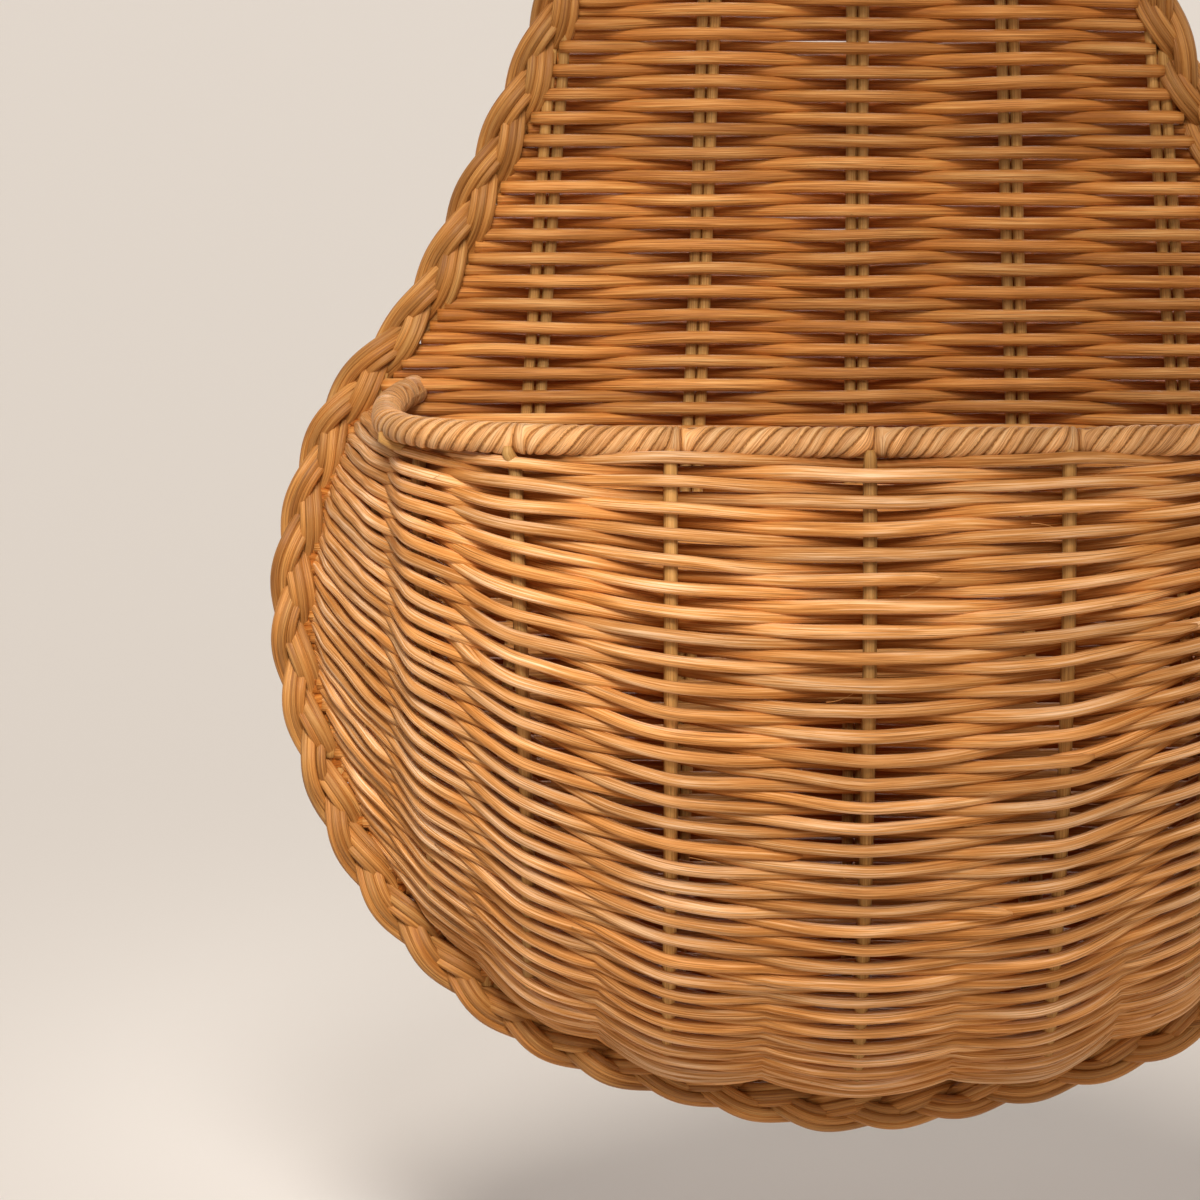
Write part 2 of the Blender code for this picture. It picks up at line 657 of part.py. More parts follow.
def hanging_loop(finish):
    """A closed loop of cane: an eye over the border, two legs behind it, and a bar in front of the middle stakes."""
    half = (LOOP_EYE_WIDTH + LOOP_ROD) / 2
    behind = LOOP_ROD / 2
    front = PANEL_MIDDLE + BACK_ROD / 2 + GAP + LOOP_ROD / 2
    under = PANEL_HEIGHT - BORDER_WIDTH / 2 - LOOP_SEAT - LOOP_ROD / 2
    top = HANG_HEIGHT + LOOP_ROD / 2
    turn = np.linspace(0, math.pi, ARCH_STEPS)
    arch = place(half * np.cos(turn), behind, top - half + half * np.sin(turn))
    bend = np.array(
        [
            place(-half, behind, under + LOOP_ROD / 2),
            place(-half, behind + LOOP_ROD / 4, under),
            place(-half, front, under),
            place(half, front, under),
            place(half, behind + LOOP_ROD / 4, under),
            place(half, behind, under + LOOP_ROD / 2),
        ]
    )
    rod("hanging_loop", np.concatenate([arch, bend]), LOOP_ROD, finish, PARTS, closed=True)


def main():
    clear_scene()
    honey = material("woven_reed_honey", (0.60, 0.36, 0.16), 0.55)
    amber = material("woven_reed_amber", (0.47, 0.26, 0.11), 0.6)
    olive = material("stake_olive", (0.50, 0.36, 0.18), 0.6)
    plait = material("plait_tan", (0.52, 0.30, 0.13), 0.55)
    cane = material("cane_skin", (0.66, 0.43, 0.22), 0.45)
    border_strands(plait)
    back_stakes(olive)
    back_weavers(amber)
    pocket_weavers(honey)
    rim(olive, cane)
    pocket_stakes(olive)
    hanging_loop(cane)


main()
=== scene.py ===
import math

import bpy
import numpy as np
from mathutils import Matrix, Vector


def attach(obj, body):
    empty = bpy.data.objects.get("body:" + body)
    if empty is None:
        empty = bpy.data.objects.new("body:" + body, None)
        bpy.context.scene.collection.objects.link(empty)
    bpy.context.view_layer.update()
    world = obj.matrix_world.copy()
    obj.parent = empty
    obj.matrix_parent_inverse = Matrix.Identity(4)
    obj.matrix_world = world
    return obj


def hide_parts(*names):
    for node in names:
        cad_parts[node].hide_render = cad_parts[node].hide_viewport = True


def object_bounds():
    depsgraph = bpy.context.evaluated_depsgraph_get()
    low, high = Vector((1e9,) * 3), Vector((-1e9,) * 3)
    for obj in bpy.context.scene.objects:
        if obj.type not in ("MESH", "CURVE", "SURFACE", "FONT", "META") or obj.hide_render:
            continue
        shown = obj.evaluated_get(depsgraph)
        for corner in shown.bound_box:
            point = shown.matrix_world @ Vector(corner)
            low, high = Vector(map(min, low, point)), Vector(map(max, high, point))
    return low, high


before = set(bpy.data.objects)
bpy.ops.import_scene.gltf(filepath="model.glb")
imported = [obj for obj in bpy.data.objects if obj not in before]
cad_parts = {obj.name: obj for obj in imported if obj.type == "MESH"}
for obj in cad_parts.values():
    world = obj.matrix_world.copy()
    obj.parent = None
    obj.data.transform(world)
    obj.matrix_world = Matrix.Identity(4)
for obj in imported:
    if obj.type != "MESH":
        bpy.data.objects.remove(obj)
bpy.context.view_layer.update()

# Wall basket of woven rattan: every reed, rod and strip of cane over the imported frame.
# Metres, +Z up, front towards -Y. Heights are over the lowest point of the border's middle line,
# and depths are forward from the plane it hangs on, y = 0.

draw = np.random.default_rng(71)

# Where the basket hangs and how it is seen
HANG_HEIGHT = 0.3562  # height of the nail, which is the frame's origin
PANEL_MIDDLE = 0.0071  # depth of the back panel's middle
AIM_ACROSS, AIM_HEIGHT = -0.06375, 0.1292
DISTANCE, ELEVATION = 1.75, math.radians(7)
VIEW_WIDTH = 0.300  # what the picture takes in at that distance
SENSOR_WIDTH = 36  # millimetres

# Corners of the round sections
BACK_REED_SIDES, BACK_ROD_SIDES = 8, 10
POCKET_REED_SIDES, POCKET_ROD_SIDES = 10, 12
PLAIT_SIDES, LOOP_SIDES, FIBRE_SIDES, RIM_SIDES = 10, 8, 4, 44
TIP_SHARE = 0.02  # of a rod's radius, in the ring that closes its end

# Border
PANEL_HALF_WIDTH = 0.1405
PANEL_HEIGHT = 0.341
BORDER_WIDTH = 0.0124
OUTLINE_STEPS = 24  # from one point of the outline to the next
# Up the right side, in shares of the panel's half width and height
OUTLINE_SHARES = (
    (0.0, 0.0), (0.276, 0.018), (0.578, 0.061), (0.827, 0.156), (0.952, 0.259), (1.0, 0.376),
    (0.934, 0.501), (0.756, 0.603), (0.596, 0.743), (0.477, 0.865), (0.363, 0.936), (0.192, 0.983),
    (0.0, 1.0),
)

# Plait. A wander is how many random values go round the border, and how large they are.
PLAIT_STRANDS = 3
PLAIT_WAVES = 18
PLAIT_STEPS = 900
PLAIT_REED = 0.0027
PLAIT_SWING = 0.0029
PLAIT_RISE = 0.0025
PLAIT_SPREAD = 0.0018  # from one reed of a strand to the next
PLAIT_REEDS = ((-PLAIT_SPREAD, -0.0001), (0.0, 0.0005), (PLAIT_SPREAD, -0.0001))  # across, forward
PLAIT_SIDE_WANDER = (44, 0.00018)
PLAIT_DEPTH_WANDER = (50, 0.00015)
PLAIT_THICKNESS_WANDER = (40, 0.05)

# Weave. A reed's wander is the span from one random value to the next, and how large they are.
# The spans of a wander that neighbouring rows share are its half width, rows and metres.
BEND_SHARPNESS = 0.97  # at 1 a woven reed would be a plain zigzag

# Back panel
BACK_REED = 0.00320
BACK_ROD = 0.0029
BACK_ROD_GAP = 0.0003  # between the two rods of a pair
BACK_ROD_STEPS = 60
BACK_COURSES = 55  # of two reeds each
BACK_BOTTOM, BACK_TOP = 0.01092, 0.32914
BACK_PITCH = (BACK_TOP - BACK_BOTTOM) / (2 * BACK_COURSES)
BACK_WEAVERS = 10
BACK_STAKE_SPACING = 0.0402  # between pairs, at the height of the rim
BACK_STAKE_FAN = 0.035  # how much the spacing grows for each metre down
BACK_PAIRS_EACH_SIDE = 3
BACK_REED_INSET = 0.0045  # from the border's middle line to the reeds' ends
BACK_ROD_INSET = 0.001
BACK_SHORTEST_HALF = 0.008
BACK_REED_STEP = 0.0020
BACK_FLATTENING = 1.14  # the wave grows by this and is cut flat over a pair of rods
BACK_END_EASE, BACK_END_SHARE = 0.008, 0.3  # on the last stretch a reed's depth sinks to this share
BACK_UNEVEN, BACK_UNEVEN_LIMITS = 0.03, (-0.03, 0.06)  # from one reed's thickness to the next
BACK_ROW_WANDER, BACK_ROW_WANDER_SPANS = 0.00034, (0.15, 7, 0.028)
BACK_DEPTH_WANDER = (0.013, 0.00012)
BACK_LEVEL_WANDER = (0.022, 0.00007)
BACK_THICKNESS_WANDER = (0.03, 0.02)
BACK_ROD_WANDER = (0.05, 0.00012)

# Pocket surface. Levels run from 0 at the lowest row to 1 at the rim.
POCKET_FOOT = 0.0135  # depth of the lowest row's middle
ROW_END_DEPTH = 0.0076  # where the rows go in under the plait
POCKET_DEPTH = 0.0968
POCKET_FULL_HEIGHT = 0.132
POCKET_DROP = 0.130
POCKET_BELLY_POWER = 1.565
POCKET_FLOOR = BORDER_WIDTH / 2 + BACK_REED / 2
POCKET_FLOOR_EASE = 0.005
POCKET_MOUTH_LEAN = 0.0051
RIM_HEIGHT = 0.178
RIM_END_RISE = 0.004
RIM_RADIUS = 0.0037
WALL_IN_RIM = 0.0008  # how far the surface reaches up into the rim
POCKET_TOP_POWER = 4.0
POCKET_BOTTOM_POWER = 3.4
POCKET_TOP_FLARE_SHARE = 0.10
POCKET_BOTTOM_FLARE_SHARE = 0.34
POCKET_FLARE_POWER = 1.3
POCKET_END_HEIGHT = 0.1765
POCKET_END_INSET = 0.0060
POCKET_FIRST_HALF_WIDTH = 0.024
ROW_CROWDING = 60.0
ROW_CROWDING_SHARE = 0.215
ROW_SPACING_POWER = 1.4
ROW_RISE_POWER = 2.45
ROW_STEPS = 200
LEAN_STEPS = 40
LEVEL_STEP = 0.006  # down and up to the two levels that give a row its upward direction
NEARBY = np.array((-0.01, 0.0, 0.01))  # shares of a half row round the place in question

# Pocket weave
POCKET_REED = 0.00316
POCKET_ROD = 0.0034
POCKET_COURSES = 33  # of two reeds each
POCKET_ROWS = 2 * POCKET_COURSES
POCKET_WEAVERS = 9
POCKET_REED_STEP = 0.0018
STAKE_SHARES = (0.0, 0.262, 0.472, 0.658, 0.822, 0.955)
FRONT_STAKES = 3  # on each side of the middle one; the rest stand in the side walls
STAKE_END_ROOM = 0.012
STAKE_STEPS = 48
STAKE_SINK = 0.0008  # how far the side walls' stakes lie behind the surface
WEAVE_ROOM = 0.0001  # between a stake and the reed that bends round it
SIDE_EASE = 0.5  # how much of the weave's depth is left on the side walls
FLOOR_EASE = 0.4  # and how much at the bottom
WEAVE_LEVEL, WEAVE_LEVELS = 0.10, 0.75  # from this level up the depth grows, over so many levels
WEAVE_END_EASE = 0.010  # on this stretch before the border the wave fades out
SIGHT_SHARE = 0.5  # how much of the rise that keeps rows level a reed follows
LOBE = 0.0030  # how far the lower rows swell in front of each stake
LOBE_TOP, LOBE_LEVELS = 0.46, 0.36  # the level where lobes end, and how far below it they are full
LOBE_STAKES, LOBE_FADE = 2.9, 1.3  # the same sideways, counted in stakes from the middle one
LOBE_POWER, LOBE_MIDDLE = 0.8, 0.55
EVEN_SPACING = 0.00298  # reeds are thicker where the rows stand farther apart than this
REED_SWELL = (0.97, 1.30)
REED_UNEVEN = 0.05  # from one reed's thickness to the next
POCKET_ROW_WANDER, POCKET_ROW_WANDER_SPANS = 0.00045, (0.19, 5, 0.024)
POCKET_DEPTH_WANDER = (0.011, 0.00018)
POCKET_LEVEL_WANDER = (0.020, 0.00020)
POCKET_THICKNESS_WANDER = (0.030, 0.03)
TUCK_SHARE = 0.7  # of the way to the plait, which a row's end is carried on
TUCK_BACK = 0.0022  # how far behind the panel's middle that way leads
TUCK_BEND = 0.0009
TUCK_STEPS = 4

# Reeds' ends: places across and heights where one reed ends on the front and the next begins
REED_ENDS = (
    (-0.0948, 0.127), (-0.0543, 0.119), (-0.0590, 0.0955), (0.012, 0.146), (0.048, 0.104),
    (-0.020, 0.079), (0.071, 0.135), (0.094, 0.112), (-0.084, 0.104), (0.030, 0.062),
)
REED_LAP_SHARE = 0.030  # of a half row, by which each of the two runs past that place
REED_END_LIFT, REED_START_LIFT = 0.0012, -0.0016  # the end lies over the weave, the start under it
REED_LIFT_SPAN = 0.006
REED_TIP_SHARES = (0.92, 0.7, 0.35)  # of the thickness, in the last three rings

# Stray fibres
FIBRES_PER_WEAVER = 4
FIBRE_PLACES = (-0.75, 0.75)  # in shares of a half row
FIBRE_LENGTHS = (0.006, 0.016)
FIBRE_START = 0.0024  # how far in front of the surface a fibre begins
FIBRE_LIFTS = (0.0005, 0.0030)
FIBRE_CURL = 0.005
FIBRE_RADIUS = 0.00011
FIBRE_STEPS = 14

# Rim and its binding
RIM_HALF_WIDTH = 0.1156
RIM_END_HALF_WIDTH = 0.110
RIM_TURN_DEPTH = 0.036
RIM_POWER = 3.6
RIM_RINGS = 1500
STRIP_WIDTH = 0.0036
STRIP_SLANT = -0.0024  # how far a strip moves along the rim for each radian round it
STRIP_BULGE, STRIP_BULGE_POWER = 0.00062, 3.5
STRIP_TILT = 0.00036
STRIP_UNEVEN = 0.00020
STRIP_WANDER = (0.012, 0.0007)
STRIP_FIBRES = 2.2  # how many times closer than a reed's the fibres lie
COLLAR_SHARE = 1.1  # of the slant, which a strip beside a stake gives up
COLLAR_SHIFT, COLLAR_SPAN = 0.0020, 0.0024

# Stakes' heads: on the front, shares of the rim's radius forward and down from its middle line, and
# in the side walls, shares of the way into it
FRONT_HEAD_SHARES = ((0.40, 1.20), (0.62, 0.80), (0.66, 0.42))
SIDE_HEAD_SHARES = (0.3, 0.65)
HEAD_TIP_SHARES = (0.95, 0.85, 0.55)  # of the thickness, in the last three rings

# Hanging loop
LOOP_REED = 0.0013
LOOP_HALF_WIDTH = 0.0052
LOOP_TOP = 0.3574
LOOP_SHOULDER = 0.345
LOOP_FOOT = 0.3324
LOOP_BACK = 0.0013  # depth of the arch and the legs
LOOP_BAR_FORWARD = 0.0030  # from the panel's middle to the bar
LOOP_CORNER, LOOP_CORNER_DEPTH = 0.0024, 0.0008  # above the foot, and in front of the legs
LOOP_STEPS = 260
LOOP_TWISTS = 9
LOOP_SPREAD_SHARE = 0.45  # of a reed's thickness, from the loop's middle line to each reed's


def place(across, depth, height):
    """Points of the frame from places across, depths and heights."""
    across, depth, height = np.broadcast_arrays(across, depth, height)
    return np.stack([across, -depth, height - HANG_HEIGHT], axis=-1)


def unit(vectors):
    """The same directions, each one long."""
    return vectors / np.maximum(np.linalg.norm(vectors, axis=-1, keepdims=True), 1e-12)


def lengths_along(points):
    """How far along a line each of its points lies."""
    return np.concatenate([[0.0], np.cumsum(np.linalg.norm(np.diff(points, axis=0), axis=1))])


def at_length(points, length):
    """The places at some lengths along a line."""
    along = lengths_along(points)
    return np.stack([np.interp(length, along, column) for column in points.T], axis=-1)


def smoothed(points, times):
    """An open line whose inner points are drawn half way to their neighbours' mean, some times over."""
    for _ in range(times):
        points[1:-1] = (points[:-2] + 2 * points[1:-1] + points[2:]) / 4
    return points


def smoothed_ring(points, times):
    """The same for a closed line."""
    for _ in range(times):
        points = (np.roll(points, 1, axis=0) + 2 * points + np.roll(points, -1, axis=0)) / 4
    return points


def eased(values):
    """A soft step from 0 to 1: three squares less two cubes."""
    values = np.clip(values, 0, 1)
    return values * values * (3 - 2 * values)


def smooth_noise(places, span, amount):
    """A smooth random wander along a reed: soft steps between random values one span apart."""
    first, last = places.min(), places.max()
    knots = draw.normal(0, 1, int((last - first) / span) + 3)
    t = (places - first) / span
    i = t.astype(int)
    f = eased(t - i)
    return amount * (knots[i] * (1 - f) + knots[i + 1] * f)


def periodic_noise(count, knots, amount):
    """The same round a closed line, with so many random values."""
    values = draw.normal(0, 1, knots)
    t = np.linspace(0, knots, count, endpoint=False)
    i = t.astype(int)
    f = eased(t - i)
    return amount * (values[i % knots] * (1 - f) + values[(i + 1) % knots] * f)


def wander_field(rows, half_width, row_span, place_span):
    """A wander that neighbouring rows share: soft steps on a grid of random values."""
    knots = draw.normal(0, 1, (int(rows / row_span) + 4, int(2 * half_width / place_span) + 4))

    def wander(row, places):
        """The grid's value at some places of a row."""
        r = (row + row_span) / row_span
        p = np.clip((places + half_width) / place_span, 0, knots.shape[1] - 2)
        i, j = int(r), p.astype(int)
        f, g = eased(r - i), eased(p - j)
        low = knots[i][j] * (1 - g) + knots[i][j + 1] * g
        high = knots[i + 1][j] * (1 - g) + knots[i + 1][j + 1] * g
        return low * (1 - f) + high * f

    return wander


def sight_rise(height):
    """How far a reed that bends forward rises for each metre, so that rows look level from the front.

    It is the slope of the line of sight: the tangent of the elevation, and more below the aim.
    """
    return math.tan(ELEVATION) + (AIM_HEIGHT - height) / DISTANCE


def woven_wave(turns):
    """The way in and out between stakes, from -1 to 1: straight runs between soft bends.

    It is the arcsine of a cosine that falls a little short of 1, half a turn from stake to stake.
    """
    return np.arcsin(BEND_SHARPNESS * np.cos(math.pi * turns)) / math.asin(BEND_SHARPNESS)


# Meshes


def mesh_piece(name, arrays, finish, nodes):
    """A smooth mesh that rides on the basket in place of CAD nodes.

    Its arrays are points, quads, a (length, turn) pair for each face corner, and two numbers for
    each point: the reed's own random number, and how far it stands forward in the weave, -1 to 1, which sets
    its painted shade.
    """
    points, faces, coords, numbers = arrays
    mesh = bpy.data.meshes.new(name)
    mesh.vertices.add(len(points))
    mesh.vertices.foreach_set("co", np.asarray(points, np.float32).ravel())
    mesh.loops.add(faces.size)
    mesh.loops.foreach_set("vertex_index", faces.ravel().astype(np.int32))
    mesh.polygons.add(len(faces))
    mesh.polygons.foreach_set("loop_start", np.arange(0, faces.size, 4, dtype=np.int32))
    mesh.polygons.foreach_set("use_smooth", np.ones(len(faces), bool))
    layer = mesh.uv_layers.new(name="reed_map")
    layer.data.foreach_set("uv", np.asarray(coords, np.float32).ravel())
    for kind, values in zip(("reed_number", "reed_depth"), np.asarray(numbers, np.float32).T):
        attribute = mesh.attributes.new(kind, "FLOAT", "POINT")
        attribute.data.foreach_set("value", np.ascontiguousarray(values))
    mesh.update(calc_edges=True)
    mesh.validate()
    mesh.materials.append(finish)
    piece = bpy.data.objects.new(name, mesh)
    bpy.context.scene.collection.objects.link(piece)
    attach(piece, "root")
    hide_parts(*nodes)


def ring_quads(here, there, sides):
    """Quads that join each ring numbered in here to its fellow in there."""
    k = np.arange(sides)
    next_k = (k + 1) % sides
    here, there = here[:, None] * sides, there[:, None] * sides
    return np.stack([here + k, here + next_k, there + next_k, there + k], axis=-1).reshape(-1, 4)


def rings_round(points, first, second, turn, radii):
    """Rings about a path's points: the cosine of the turn along first, its sine along second."""
    return (
        points[:, None]
        + first[:, None] * (np.cos(turn) * radii)[..., None]
        + second[:, None] * (np.sin(turn) * radii)[..., None]
    )


def tube(points, radii, sides, closed=False, forward=0.0):
    """A round rod along a path: rings of equal angles square to it, drawn in to a tip at each open end.

    The rings don't twist: each starts from the backward direction, made square to the path. Returns
    points, quads, corner coordinates (metres along, turns round), and two numbers for each point:
    the rod's random one, and forward.
    """
    radii = np.broadcast_to(radii, len(points))
    forward = np.broadcast_to(forward, len(points))
    if closed:
        along = unit(np.roll(points, -1, axis=0) - np.roll(points, 1, axis=0))
    else:
        along = unit(np.gradient(points, axis=0))
    backward = np.array((0.0, 1.0, 0.0))
    first = unit(backward - along * np.sum(along * backward, axis=1, keepdims=True))
    second = np.cross(along, first)
    turn = np.linspace(0, 2 * math.pi, sides, endpoint=False)
    if not closed:
        ring = np.concatenate([[0], np.arange(len(points)), [-1]])
        points, first, second, forward = points[ring], first[ring], second[ring], forward[ring]
        radii = np.concatenate([radii[:1] * TIP_SHARE, radii, radii[-1:] * TIP_SHARE])
    rings = rings_round(points, first, second, turn[None, :], radii[:, None])
    count = len(points)
    here = np.arange(count if closed else count - 1)
    faces = ring_quads(here, (here + 1) % count, sides)
    lengths = lengths_along(np.concatenate([points, points[:1]]) if closed else points)
    left = np.broadcast_to(np.arange(sides) / sides, (len(here), sides))
    right = left + 1 / sides
    start, stop = (np.broadcast_to(lengths[ring][:, None], left.shape) for ring in (here, here + 1))
    corners = ((start, left), (start, right), (stop, right), (stop, left))
    coords = np.stack([np.stack(corner, -1) for corner in corners], axis=-2).reshape(-1, 2)
    numbers = np.column_stack([np.full(count * sides, draw.random()), np.repeat(forward, sides)])
    return rings.reshape(-1, 3), faces, coords, numbers


def cap_ends(arrays, sides, count):
    """The same tube with a strip of quads across its first and last ring, so that the mesh is closed."""
    points, faces, coords, numbers = arrays
    i = np.arange(1, sides // 2)
    strip = np.stack([i - 1, i, sides - 1 - i, sides - i], axis=-1)
    made = np.concatenate([strip[:, ::-1], strip + (count - 1) * sides])
    extra = np.tile(coords[0], (made.size, 1))
    return points, np.concatenate([faces, made]), np.concatenate([coords, extra]), numbers


def rod(points, radii, sides, forward=0.0):
    """An open tube with closed ends."""
    return cap_ends(tube(points, radii, sides, forward=forward), sides, len(points) + 2)


def joined(tubes):
    """Several tubes as one set of arrays."""
    points, faces, coords, numbers = zip(*tubes)
    shifts = np.cumsum([0] + [len(group) for group in points[:-1]])
    faces = [quads + shift for quads, shift in zip(faces, shifts)]
    return tuple(np.concatenate(group) for group in (points, faces, coords, numbers))


# Outline of the border


def outline():
    """A closed Catmull-Rom curve through the outline's points, from the bottom: places across and heights."""
    right = np.array(OUTLINE_SHARES) * (PANEL_HALF_WIDTH, PANEL_HEIGHT)
    left = right[-2:0:-1] * (-1, 1)
    knots = np.concatenate([right, left])
    t = np.linspace(0, 1, OUTLINE_STEPS, endpoint=False)[None, :, None]
    a, b, c, d = (np.roll(knots, 1 - k, axis=0)[:, None] for k in range(4))
    straight = b + t * (c - a) / 2
    spans = straight + t**2 * (a - 5 * b / 2 + 2 * c - d / 2) + t**3 * (3 * (b - c) + d - a) / 2
    return spans.reshape(-1, 2)


def outward(points):
    """Directions out of a closed line that runs from the panel's bottom up its right side."""
    along = unit(np.roll(points, -1, axis=0) - np.roll(points, 1, axis=0))
    return np.stack([along[:, 1], -along[:, 0]], axis=-1)


BORDER_LINE = outline()


def side_line(inset):
    """The right half of the outline moved inwards, from bottom to top: places across and heights."""
    points = BORDER_LINE - outward(BORDER_LINE) * inset
    half = points[: (len(OUTLINE_SHARES) - 1) * OUTLINE_STEPS + 1].copy()
    half[0, 0] = half[-1, 0] = 0
    return half


# Pocket surface


def centre_line():
    """The pocket's section at its middle, as depths and heights from the bottom up.

    It is a superellipse below the fullest place, and leans back with the square of the height above
    it. A hyperbola eases it on to the floor.
    """
    turn = np.linspace(math.pi / 2, 0, ROW_STEPS)
    depth = POCKET_DEPTH * np.abs(np.cos(turn)) ** (2 / POCKET_BELLY_POWER)
    height = POCKET_FULL_HEIGHT - POCKET_DROP * np.abs(np.sin(turn)) ** (2 / POCKET_BELLY_POWER)
    upper = np.linspace(POCKET_FULL_HEIGHT, RIM_HEIGHT - RIM_RADIUS + WALL_IN_RIM, LEAN_STEPS)[1:]
    lean = POCKET_MOUTH_LEAN * ((upper - POCKET_FULL_HEIGHT) / (RIM_HEIGHT - POCKET_FULL_HEIGHT)) ** 2
    depth = PANEL_MIDDLE + np.concatenate([depth, POCKET_DEPTH - lean])
    over = np.concatenate([height, upper]) - POCKET_FLOOR
    height = POCKET_FLOOR + (over + np.hypot(over, POCKET_FLOOR_EASE)) / 2
    kept = depth > POCKET_FOOT
    return np.column_stack([depth[kept], height[kept]])


def end_line():
    """The line beside the border where the pocket's rows end, from the lowest to the highest."""
    line = side_line(POCKET_END_INSET)
    kept = (line[:, 1] < POCKET_END_HEIGHT) & (line[:, 0] > POCKET_FIRST_HALF_WIDTH)
    return line[kept]


CENTRE_LINE, END_LINE = centre_line(), end_line()
CENTRE_LENGTH, END_LENGTH = lengths_along(CENTRE_LINE)[-1], lengths_along(END_LINE)[-1]


def pocket_row(level):
    """A row from its middle to its right end: in plan a superellipse that flares at the border.

    Its middle lies at the level's share of the centre line. The share of the end line where it ends
    is part logarithm and part power of the level, and it climbs there with a power of the way across.
    """
    level = min(max(level, 0.0), 1.0)
    depth, height = at_length(CENTRE_LINE, level * CENTRE_LENGTH)
    crowded = ROW_CROWDING_SHARE * math.log(1 + ROW_CROWDING * level)
    even = 1 - ROW_CROWDING_SHARE * math.log(1 + ROW_CROWDING)
    end_share = crowded + even * level**ROW_SPACING_POWER
    end_across, end_height = at_length(END_LINE, end_share * END_LENGTH)
    power = POCKET_BOTTOM_POWER + (POCKET_TOP_POWER - POCKET_BOTTOM_POWER) * level
    turn = np.linspace(0, math.pi / 2, ROW_STEPS)
    forward = np.abs(np.cos(turn)) ** (2 / power)
    flare_share = POCKET_BOTTOM_FLARE_SHARE + (POCKET_TOP_FLARE_SHARE - POCKET_BOTTOM_FLARE_SHARE) * level
    flare = end_across * flare_share
    across = (end_across - flare) * np.sin(turn) ** (2 / power) + flare * (1 - forward) ** POCKET_FLARE_POWER
    heights = height + (end_height - height) * (across / end_across) ** ROW_RISE_POWER
    return place(across, ROW_END_DEPTH + (depth - ROW_END_DEPTH) * forward, heights)


def half_length(level):
    """The length of a row from its middle to its end."""
    return lengths_along(pocket_row(level))[-1]


def row_places(level, shares):
    """Points of a row by their shares of its half length, negative on the left."""
    row = pocket_row(level)
    points = at_length(row, np.abs(shares) * lengths_along(row)[-1])
    points[:, 0] *= np.where(shares < 0, -1, 1)
    return points


def row_frame(level, shares):
    """(points, outward normals, upward directions, distance to the next row) along a row."""
    points = row_places(level, shares)
    up = row_places(level + LEVEL_STEP, shares) - row_places(level - LEVEL_STEP, shares)
    along = unit(np.gradient(points, axis=0))
    up = up - along * np.sum(up * along, axis=1, keepdims=True)
    spacing = np.linalg.norm(up, axis=1) / (2 * LEVEL_STEP * POCKET_ROWS)
    up = unit(up)
    return points, unit(np.cross(along, up)), up, spacing


TOP_ROW_LENGTH = half_length(1.0)
STAKE_LENGTHS = np.array(STAKE_SHARES) * TOP_ROW_LENGTH
STAKE_COUNT = len(STAKE_SHARES) - 1
EVERY_STAKE = np.concatenate([-STAKE_LENGTHS[:0:-1], STAKE_LENGTHS])


def stake_number(lengths):
    """A row's places counted in stakes: 0 at the middle one, whole at each, and on past the last."""
    last = STAKE_LENGTHS[-1] - STAKE_LENGTHS[-2]
    knots = np.concatenate([[EVERY_STAKE[0] - last], EVERY_STAKE, [EVERY_STAKE[-1] + last]])
    return np.interp(lengths, knots, np.arange(-STAKE_COUNT - 1, STAKE_COUNT + 2))


def lobes(level, lengths):
    """The lower rows swell in front of each stake and draw in between, with a power of a cosine."""
    number = stake_number(lengths)
    low = eased((LOBE_TOP - level) / LOBE_LEVELS) * eased((LOBE_STAKES - np.abs(number)) / LOBE_FADE)
    return LOBE * low * (np.abs(np.cos(math.pi * number)) ** LOBE_POWER - LOBE_MIDDLE)


# Rim


def rim_line():
    """Right half of the rim: a superellipse to its widest place, then a curve that draws in to the panel."""
    turn = np.linspace(0, math.pi / 2, 96)
    front = POCKET_DEPTH - POCKET_MOUTH_LEAN
    across = RIM_HALF_WIDTH * np.sin(turn) ** (2 / RIM_POWER)
    depth = RIM_TURN_DEPTH + (front - RIM_TURN_DEPTH) * np.abs(np.cos(turn)) ** (2 / RIM_POWER)
    back = np.linspace(0, 1, 24)[1:]
    across = np.concatenate([across, RIM_HALF_WIDTH - (RIM_HALF_WIDTH - RIM_END_HALF_WIDTH) * back**2])
    depth = PANEL_MIDDLE + np.concatenate([depth, RIM_TURN_DEPTH * (1 - back)])
    line = place(across, depth, RIM_HEIGHT)
    share = lengths_along(line) / lengths_along(line)[-1]
    line[:, 2] += RIM_END_RISE * share**3
    return line


RIM_LINE = rim_line()
RIM_LENGTHS = lengths_along(RIM_LINE)
RIM_LENGTH = RIM_LENGTHS[-1]


def rim_places(lengths):
    """Points of the rim by their lengths from its middle, negative on the left."""
    points = at_length(RIM_LINE, np.abs(lengths))
    points[:, 0] *= np.where(lengths < 0, -1, 1)
    return points


